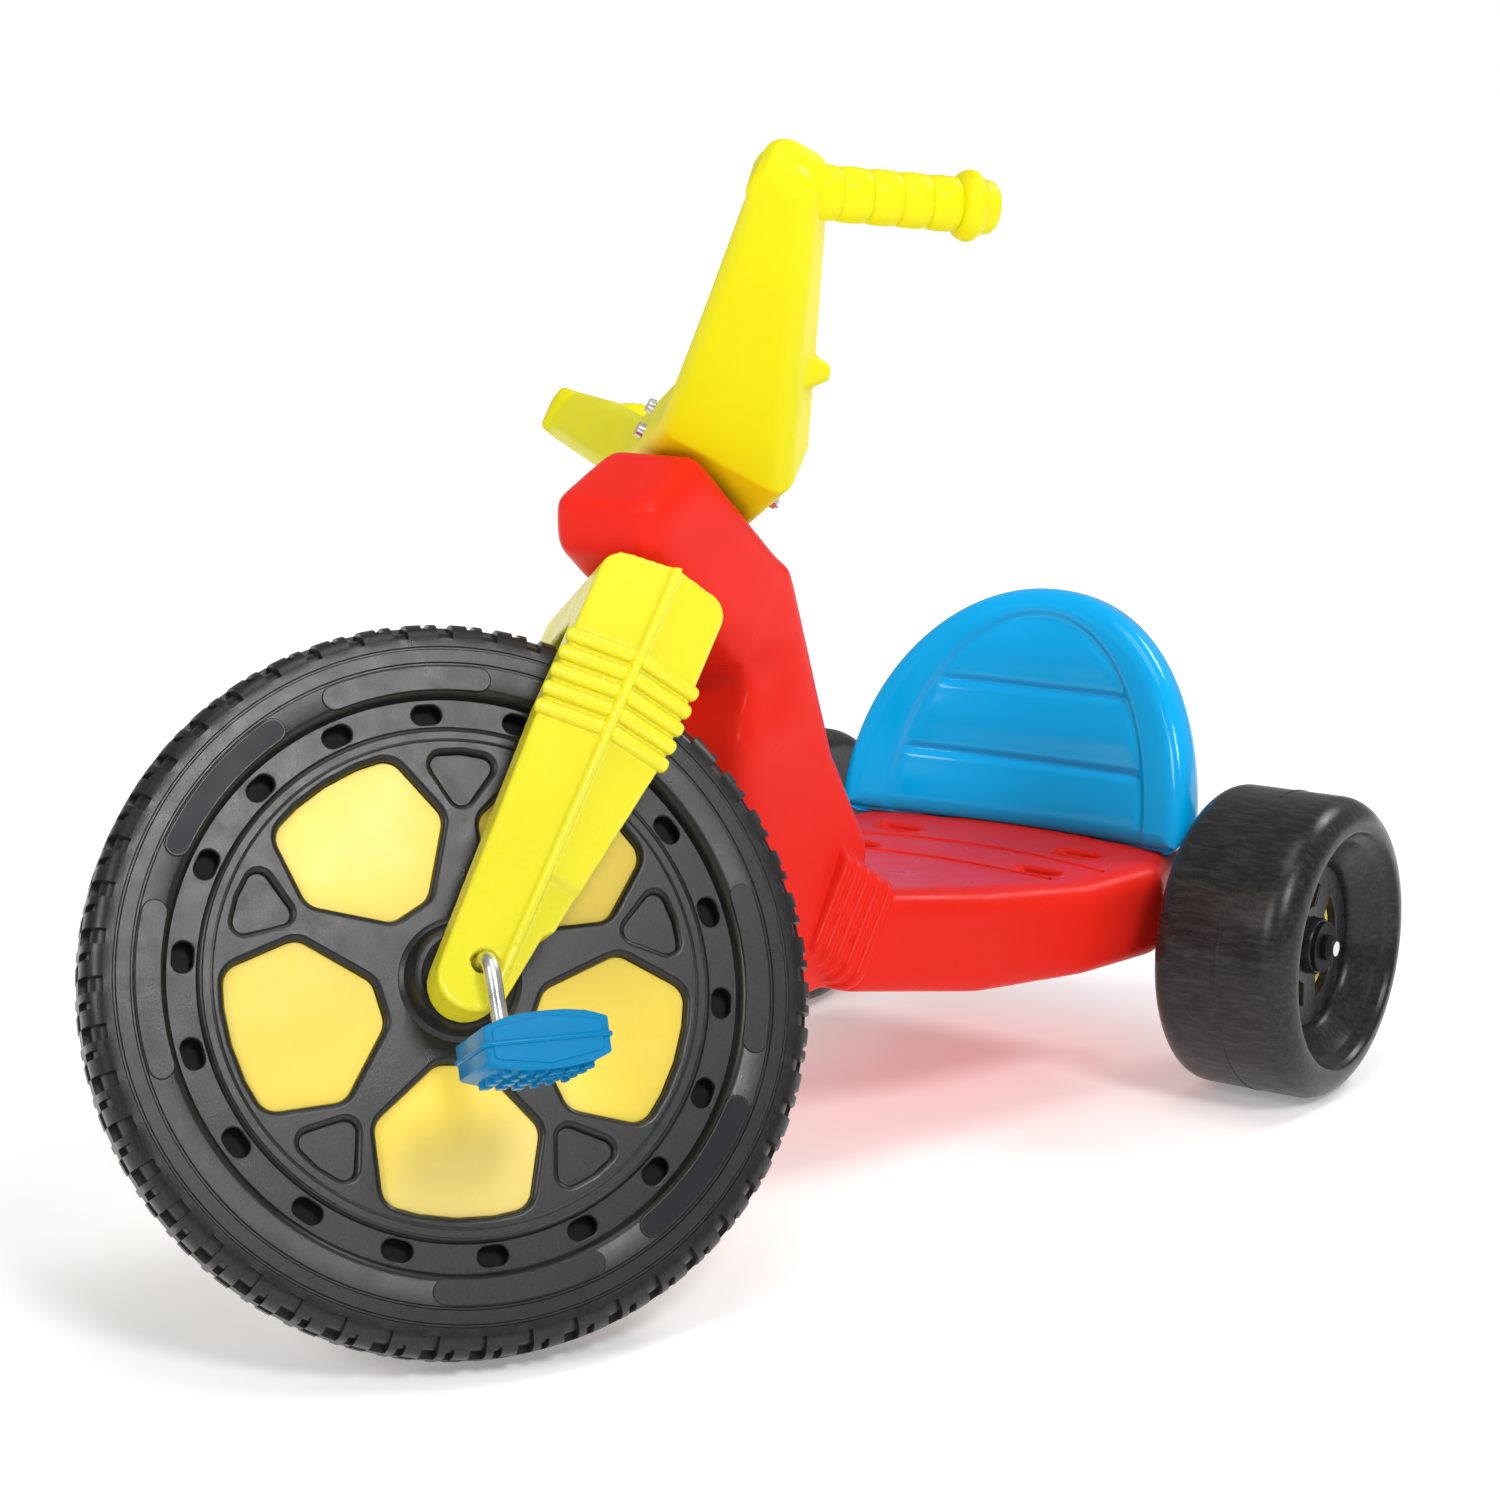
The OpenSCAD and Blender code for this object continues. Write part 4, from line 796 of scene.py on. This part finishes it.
class TRICYCLE_OT_pedals(bpy.types.Operator):
    """The two blue pedals"""

    bl_idname = "tricycle.pedals"
    bl_label = "Pedals"

    tilt = 30.5
    crown = ((32, 8.6), (31, 9.6), (21, 12.9), (10.5, 14.3), (0, 14.6), (-10.5, 14.3), (-21, 12.9), (-31, 9.6),
        (-32, 8.6))
    end_panel = ((28.4, 7.6), (0, 12.2), (-28.4, 7.6), (-28.4, -7.6), (0, -12.2), (28.4, -7.6))
    collar = ((0, -42), (8.4, -42), (9, -41.4), (9.6, -31), (0, -31))
    half_width, end_proud = 31.5, 0.8
    bead, bead_half = slab(33.8, 33.3, 4), 1.4
    lug_columns, lug_rows = (-21, -12.6, -4.2, 4.2, 12.6, 21), (-22, -7, 7, 22)
    wide_lug, narrow_lug = slab(3, 4, 1.5), slab(1.9, 4, 1.5)
    lug_root, lug_tip, lug_taper = 10, 17.4, 0.09
    on_edge = Matrix.Rotation(math.pi / 2, 4, "X")

    def execute(self, context):
        level = AHEAD * math.cos(math.radians(self.tilt)) - STEM * math.sin(math.radians(self.tilt))
        upright = STEM * level.dot(AHEAD) - AHEAD * level.dot(STEM)
        block = [*self.crown, *((x, -y) for x, y in reversed(self.crown))]
        end = self.half_width + self.end_proud
        for name, side in SIDES.items():
            spot = Vector(JOINTS[name + "_pedal_spin"]["pos_m"])
            bm = bmesh.new()
            plate(context, bm, [block], -self.half_width, self.half_width, 1.3, 2)
            plate(context, bm, [rounded(self.end_panel, 3)], -end, end, 0.6, 1)
            plate(context, bm, [self.bead], -self.bead_half, self.bead_half, 1.2, 3, self.on_edge)
            self.lugs(context, bm)
            lathe(bm, self.collar, 32)
            settle(bm, place(spot, level, upright, SPINDLE * side))
            # Painted shade: the pedals are of the seat's blue plastic, painted in a darker copy of it
            add_piece(context, "pedal_block_" + name, bm, "blue_seat", name + "_pedal", ["pedal_" + name], crisp=32,
                paint="pedal_blue")
        return {"FINISHED"}

    def lugs(self, context, bm):
        """Rows of grip lugs under the sole."""
        for x in self.lug_columns:
            for z in self.lug_rows:
                outline = shifted(self.narrow_lug if z * x > 0 else self.wide_lug, x, z)
                tip = self.lug_tip - abs(x) * self.lug_taper
                plate(context, bm, [outline], self.lug_root, tip, 0.7, 1, self.on_edge)


class TRICYCLE_OT_front_wheel(bpy.types.Operator):
    """The front wheel: tyre with lugs, vented channel, faces with windows, and panels"""

    bl_idname = "tricycle.front_wheel"
    bl_label = "Front wheel"

    # Radii and heights above the wheel's middle plane, and angles
    windows, first_window, panel_heights = 5, 41, (10, 13)
    face_radius, bore_radius, face_heights, pocket_heights = 143, 22, (9.5, 18), (10, 13.6)
    vents, first_vent, vent_hole = 18, 0.6, vent(150, 17, 11)
    channel_radii, channel_heights = (159.5, 141), (10.5, 15.2)
    floor_radii, floor_heights = (158, 140.5), (3, 5.5)
    lugs, columns, long_gap, short_gap, tread, tread_half = 48, 6, 191.5, 198.4, 202.9, 5
    pad_angle, pad_step, pad_arc, pad_heights = -14, 41.5, (161.8, 176, 33), (21.5, 24)
    label_arc, label_heights = (163, 174.8, 32), (23.4, 24.35)
    sidewall = ((0, 10.5), (140.5, 10.5), (141, 10), (141, 4), (157.6, 4), (157.8, 13), (158.6, 17), (160, 20.5),
        (162, 22.3), (164.5, 22.9), (176.2, 23), (176.9, 22.1), (177.7, 22.1), (178.4, 23), (185.4, 22.9),
        (186.1, 22.0), (186.9, 22.0), (187.6, 22.8), (192, 22.6), (195.6, 21.7), (198.4, 19.9), (200.8, 17.2),
        (202.3, 14), (203, 10.5), (203, 5))
    hub = ((5.5, 12), (5.5, 30), (26, 30), (27.6, 29.4), (28.6, 28), (30, 22), (31.6, 19.6), (34.4, 18.3), (35.4, 17),
        (35.4, 12), (5.5, 12))
    ring_radii = (134.8, 140.4)
    ring = ((-1.2, 17.2), (-0.8, 18.4), (0, 18.8), (0.8, 18.4), (1.2, 17.2), (-1.2, 17.2))

    def execute(self, context):
        sizes = context.scene.tricycle_sizes
        self.tyre(context, sizes.lug_depth / MM)
        self.faces(context, sizes.window_edge / MM)
        self.pads(context)
        self.panels(context)
        return {"FINISHED"}

    def tyre(self, context, depth):
        """The tyre, with gaps sunk between the lugs of its shoulders and dents in its tread."""
        bm = bmesh.new()
        steps = self.lugs * self.columns
        lathe(bm, [*self.sidewall, *((r, -z) for r, z in reversed(self.sidewall))], steps)
        bmesh.ops.recalc_face_normals(bm, faces=bm.faces)
        long_gaps, short_gaps, dents = [], [], []
        for f in bm.faces:
            c = f.calc_center_median()
            r = math.hypot(c.x, c.y)
            column = int(math.degrees(math.atan2(c.y, c.x)) % 360 / 360 * steps) % self.columns
            shoulder = abs(c.z) > self.tread_half
            if column in (2, 3) and r > self.long_gap and shoulder:
                long_gaps.append(f)
            elif column == 5 and r > self.short_gap and shoulder:
                short_gaps.append(f)
            elif column in (0, 1) and r > self.tread and not shoulder:
                dents.append(f)
        for sunk, margin, share in ((long_gaps, 0.5, 1), (short_gaps, 0.5, 0.8), (dents, 0.8, 0.7)):
            bmesh.ops.inset_region(bm, faces=sunk, thickness=margin, depth=-depth * share, use_even_offset=True)
        settle(bm, WHEEL_FRAME)
        add_piece(context, "front_tyre", bm, "black_front", WHEEL_BODY, ["front_wheel"], crisp=42)

    def faces(self, context, edge):
        """The spoked faces with windows and pockets, the vented channel, a dull black sheet on its floor as painted
        shade in the vents, and the hub.
        """
        bm = bmesh.new()
        angles = [self.first_window + 360 / self.windows * i for i in range(self.windows)]
        holes = [circle(self.bore_radius, 64)]
        for at in angles:
            holes += [turned(window(0), at), turned(pocket(0), at + 36)]
        plate(context, bm, [circle(self.face_radius), *holes], *self.face_heights, edge, 5)
        for at in angles:
            plate(context, bm, [turned(pocket(1), at + 36)], *self.pocket_heights, 0.5, 1)
        vents = [turned(self.vent_hole, self.first_vent + 360 / self.vents * i) for i in range(self.vents)]
        plate(context, bm, [*map(circle, self.channel_radii), *vents], *self.channel_heights, 0.9, 2)
        for radius in self.ring_radii:
            lathe(bm, [(radius + r, z) for r, z in self.ring], 144)
        lathe(bm, self.hub, 72)
        both_faces(bm)
        settle(bm, WHEEL_FRAME)
        add_piece(context, "front_wheel_faces", bm, "black_front", WHEEL_BODY, crisp=28)
        # Painted shade: a dull black sheet laid on the channel's floor so the vents look dark
        bm = bmesh.new()
        plate(context, bm, [*map(circle, self.floor_radii)], *self.floor_heights, 0.3, 1)
        both_faces(bm)
        settle(bm, WHEEL_FRAME)
        add_piece(context, "vent_floor", bm, "black_front", WHEEL_BODY, crisp=28, paint="bush_black")

    def pads(self, context):
        """Six raised pads on each sidewall, two of them with a bare label."""
        pads, labels = bmesh.new(), bmesh.new()
        for half in (0, 180):
            for i in (-1, 0, 1):
                at = self.pad_angle + half + self.pad_step * i
                plate(context, pads, [turned(arc_pad(*self.pad_arc), at)], *self.pad_heights, 0.7, 2)
                if i == 0:
                    plate(context, labels, [turned(arc_pad(*self.label_arc), at)], *self.label_heights, 0.15, 1)
        for bm in (pads, labels):
            both_faces(bm)
            settle(bm, WHEEL_FRAME)
        add_piece(context, "tyre_pads", pads, "black_front", WHEEL_BODY, crisp=28)
        add_piece(context, "bare_labels", labels, "black_front", WHEEL_BODY, crisp=28, paint="label_black")

    def panels(self, context):
        """The yellow panels in the windows of each face."""
        for name, side in SIDES.items():
            bm = bmesh.new()
            for i in range(self.windows):
                at = self.first_window + 360 / self.windows * i
                plate(context, bm, [turned(window(-0.4), at)], *self.panel_heights, 0.5, 1)
            settle(bm, WHEEL_FRAME @ Matrix.Diagonal((1, 1, side, 1)))
            add_piece(context, "window_panels_" + name, bm, "panel_yellow", WHEEL_BODY, ["wheel_panels_" + name],
                crisp=28)


class TRICYCLE_OT_rear_wheels(bpy.types.Operator):
    """The two wide rear wheels, dished and spoked, and their panels"""

    bl_idname = "tricycle.rear_wheels"
    bl_label = "Rear wheels"

    windows, first_window = 5, -16
    spoke_rim, spoke_bore, spoke_heights = 56.2, 18.4, (222, 228.4)
    window_radii, spoke_width = (27, 41), 19
    panel_radii, panel_gap, panel_heights = (27.4, 40.6), 19.8, (219, 222.6)
    inner_face = ((5.2, 158), (40, 158), (42, 159.5), (60, 159.5), (62, 158))
    seam = ((102, 206.5), (102.5, 206.9), (102.5, 208.1), (102, 208.5))
    dish = ((80.6, 256.7), (79.4, 255.6), (78.6, 253.6), (77.4, 252.2), (74, 249.4), (72.6, 248.6), (71.8, 247.2),
        (64, 240.2), (58.4, 234.9), (56.4, 232.4), (55.4, 229), (55.4, 219.2), (19, 219.2), (19, 234.6), (18, 236),
        (5.2, 236), (5.2, 158))

    def execute(self, context):
        shoulder = shifted([polar(15, a) for a in range(-90, 1, 10)], 87, 173)
        crown = shifted([polar(20, a) for a in range(0, 91, 9)], 82, 237)
        outline = [*self.inner_face, *shoulder, *self.seam, *crown, *self.dish]
        for name, side in SIDES.items():
            body = name + "_rear"
            tyre, spokes, panels = bmesh.new(), bmesh.new(), bmesh.new()
            lathe(tyre, outline, 160)
            angle = 360 / self.windows
            angles = [angle * i + self.first_window * side for i in range(self.windows)]
            holes = [turned(sector(*self.window_radii, self.spoke_width, angle), at) for at in angles]
            rings = [circle(self.spoke_rim, 96), circle(self.spoke_bore, 48)]
            plate(context, spokes, rings + holes, *self.spoke_heights, 1.4)
            for at in angles:
                panel = turned(sector(*self.panel_radii, self.panel_gap, angle), at)
                plate(context, panels, [panel], *self.panel_heights, 0.4, 1)
            for bm in (tyre, spokes, panels):
                settle(bm, rear_frame(side))
            add_piece(context, "rear_tyre_" + name, tyre, "black_rear", body, ["rear_wheel_" + name], crisp=40)
            add_piece(context, "rear_spokes_" + name, spokes, "black_rear", body, crisp=28)
            add_piece(context, "rear_window_panels_" + name, panels, "panel_yellow", body, ["rear_panels_" + name],
                crisp=28)
        return {"FINISHED"}


class TRICYCLE_OT_hardware(bpy.types.Operator):
    """The axle's collars, and finishes for the crank, bolts, axle and bearings that stay as they are"""

    bl_idname = "tricycle.hardware"
    bl_label = "Hardware"

    steel = ("crank", "bar_bolt_upper", "bar_bolt_lower", "bar_nut_upper", "bar_nut_lower", "rear_axle",
        "axle_spacer_left", "axle_spacer_right", "thrust_washer")
    black = ("head_bush_upper", "head_bush_lower", "hub_plate_left", "hub_plate_right", "rear_bush_left",
        "rear_bush_right")
    collar = ((5, 240), (8.6, 240), (8.6, 242.6), (8, 243.4), (6.4, 244.4), (5, 244.6), (5, 240))

    def execute(self, context):
        for slot, nodes in (("zinc", self.steel), ("bush_black", self.black)):
            for node in nodes:
                piece = frame["nodes"][node]
                piece.data.materials.clear()
                piece.data.materials.append(finish_for(context, slot))
        for name, side in SIDES.items():
            bm = bmesh.new()
            lathe(bm, self.collar, 40)
            settle(bm, rear_frame(side))
            add_piece(context, "axle_collar_" + name, bm, "bush_black", "frame", ["axle_cap_" + name], crisp=30)
        return {"FINISHED"}


class TRICYCLE_OT_stage(bpy.types.Operator):
    """Pale floor, soft lights and the camera of the photo"""

    bl_idname = "tricycle.stage"
    bl_label = "Stage"

    # Name, place, diameter and power of each lamp
    lamps = (
        ("key", (1.55, 2.85, 3.05), 1.1, 74),
        ("side", (4.4, -0.4, 3.0), 1.6, 70),
        ("rim", (-3.0, 1.4, 3.4), 1.4, 60),
        ("top", (0.4, 0.5, 3.8), 1.8, 24),
    )
    lamp_target = Vector((0, 0, 0.25))
    room_light = 0.36
    camera_spot, camera_target, camera_roll = (1.5267, 1.0607, 0.6788), Vector((-0.0408, -0.0035, 0.2578)), -0.39
    focal_length, film_width, shift = 74.73, 36, (-0.0137, 0.0079)

    def execute(self, context):
        self.floor(context)
        self.lights(context)
        self.room(context)
        self.camera(context)
        context.scene.view_settings.view_transform = "Standard"
        return {"FINISHED"}

    def floor(self, context):
        """A wide sheet of paper just under the wheels."""
        bm = bmesh.new()
        bmesh.ops.create_grid(bm, x_segments=8, y_segments=8, size=60)
        bmesh.ops.translate(bm, verts=bm.verts, vec=(0, 0, -0.0006))
        mesh = bpy.data.meshes.new("floor")
        bm.to_mesh(mesh)
        bm.free()
        mesh.materials.append(floor_paper("paper", colour_of(context, "paper")))
        floor = bpy.data.objects.new("floor", mesh)
        context.scene.collection.objects.link(floor)

    def lights(self, context):
        """Round soft lamps, all turned towards the tricycle."""
        for name, spot, size, power in self.lamps:
            lamp = bpy.data.lights.new(name, "AREA")
            lamp.shape = "DISK"
            lamp.size = size
            lamp.energy = power
            holder = bpy.data.objects.new(name, lamp)
            holder.location = spot
            holder.rotation_euler = (self.lamp_target - Vector(spot)).to_track_quat("-Z", "Y").to_euler()
            context.scene.collection.objects.link(holder)

    def room(self, context):
        """A white room that lights the tricycle less than the camera sees of it."""
        world = bpy.data.worlds.new("studio")
        world.use_nodes = True
        tree = world.node_tree
        light = tree.nodes["Background"]
        light.inputs["Color"].default_value = (1, 1, 1, 1)
        light.inputs["Strength"].default_value = self.room_light
        seen = tree.nodes.new("ShaderNodeBackground")
        seen.inputs["Color"].default_value = (1, 1, 1, 1)
        path = tree.nodes.new("ShaderNodeLightPath")
        choice = tree.nodes.new("ShaderNodeMixShader")
        tree.links.new(path.outputs["Is Camera Ray"], choice.inputs[0])
        tree.links.new(light.outputs[0], choice.inputs[1])
        tree.links.new(seen.outputs[0], choice.inputs[2])
        tree.links.new(choice.outputs[0], tree.nodes["World Output"].inputs["Surface"])
        context.scene.world = world

    def camera(self, context):
        """A camera where the photo was taken from."""
        lens = bpy.data.cameras.new("photo_camera")
        lens.lens = self.focal_length
        lens.sensor_width = self.film_width
        lens.shift_x, lens.shift_y = self.shift
        camera = bpy.data.objects.new("photo_camera", lens)
        camera.location = self.camera_spot
        aim = self.camera_target - camera.location
        roll = Matrix.Rotation(math.radians(self.camera_roll), 3, "Z")
        camera.rotation_euler = (aim.to_track_quat("-Z", "Y").to_matrix() @ roll).to_euler()
        context.scene.collection.objects.link(camera)
        context.scene.camera = camera


STEPS = (TRICYCLE_OT_stage, TRICYCLE_OT_shell, TRICYCLE_OT_seat, TRICYCLE_OT_fork, TRICYCLE_OT_handlebar,
    TRICYCLE_OT_pedals, TRICYCLE_OT_front_wheel, TRICYCLE_OT_rear_wheels, TRICYCLE_OT_hardware)


class TRICYCLE_PT_pieces(bpy.types.Panel):
    """Lists the pieces of the tricycle"""

    bl_label = "Tricycle"
    bl_idname = "TRICYCLE_PT_pieces"
    bl_space_type = "VIEW_3D"
    bl_region_type = "UI"
    bl_category = "Tricycle"

    def draw(self, context):
        for step in STEPS:
            self.layout.operator(step.bl_idname)
        for group in (context.scene.tricycle_sizes, context.scene.tricycle_colours):
            column = self.layout.column()
            for name in group.__annotations__:
                column.prop(group, name)


CLASSES = (TricycleSizes, TricycleColours, *STEPS, TRICYCLE_PT_pieces)


def register():
    """Adds the classes and their settings to Blender."""
    for cls in CLASSES:
        bpy.utils.register_class(cls)
    bpy.types.Scene.tricycle_sizes = bpy.props.PointerProperty(type=TricycleSizes)
    bpy.types.Scene.tricycle_colours = bpy.props.PointerProperty(type=TricycleColours)


def unregister():
    """Takes the settings and the classes out again."""
    del bpy.types.Scene.tricycle_colours
    del bpy.types.Scene.tricycle_sizes
    for cls in reversed(CLASSES):
        bpy.utils.unregister_class(cls)


def main():
    """Builds the stage and every piece."""
    register()
    bpy.ops.tricycle.stage()
    bpy.ops.tricycle.shell()
    bpy.ops.tricycle.seat()
    bpy.ops.tricycle.fork()
    bpy.ops.tricycle.handlebar()
    bpy.ops.tricycle.pedals()
    bpy.ops.tricycle.front_wheel()
    bpy.ops.tricycle.rear_wheels()
    bpy.ops.tricycle.hardware()


if __name__ == "__main__":
    main()
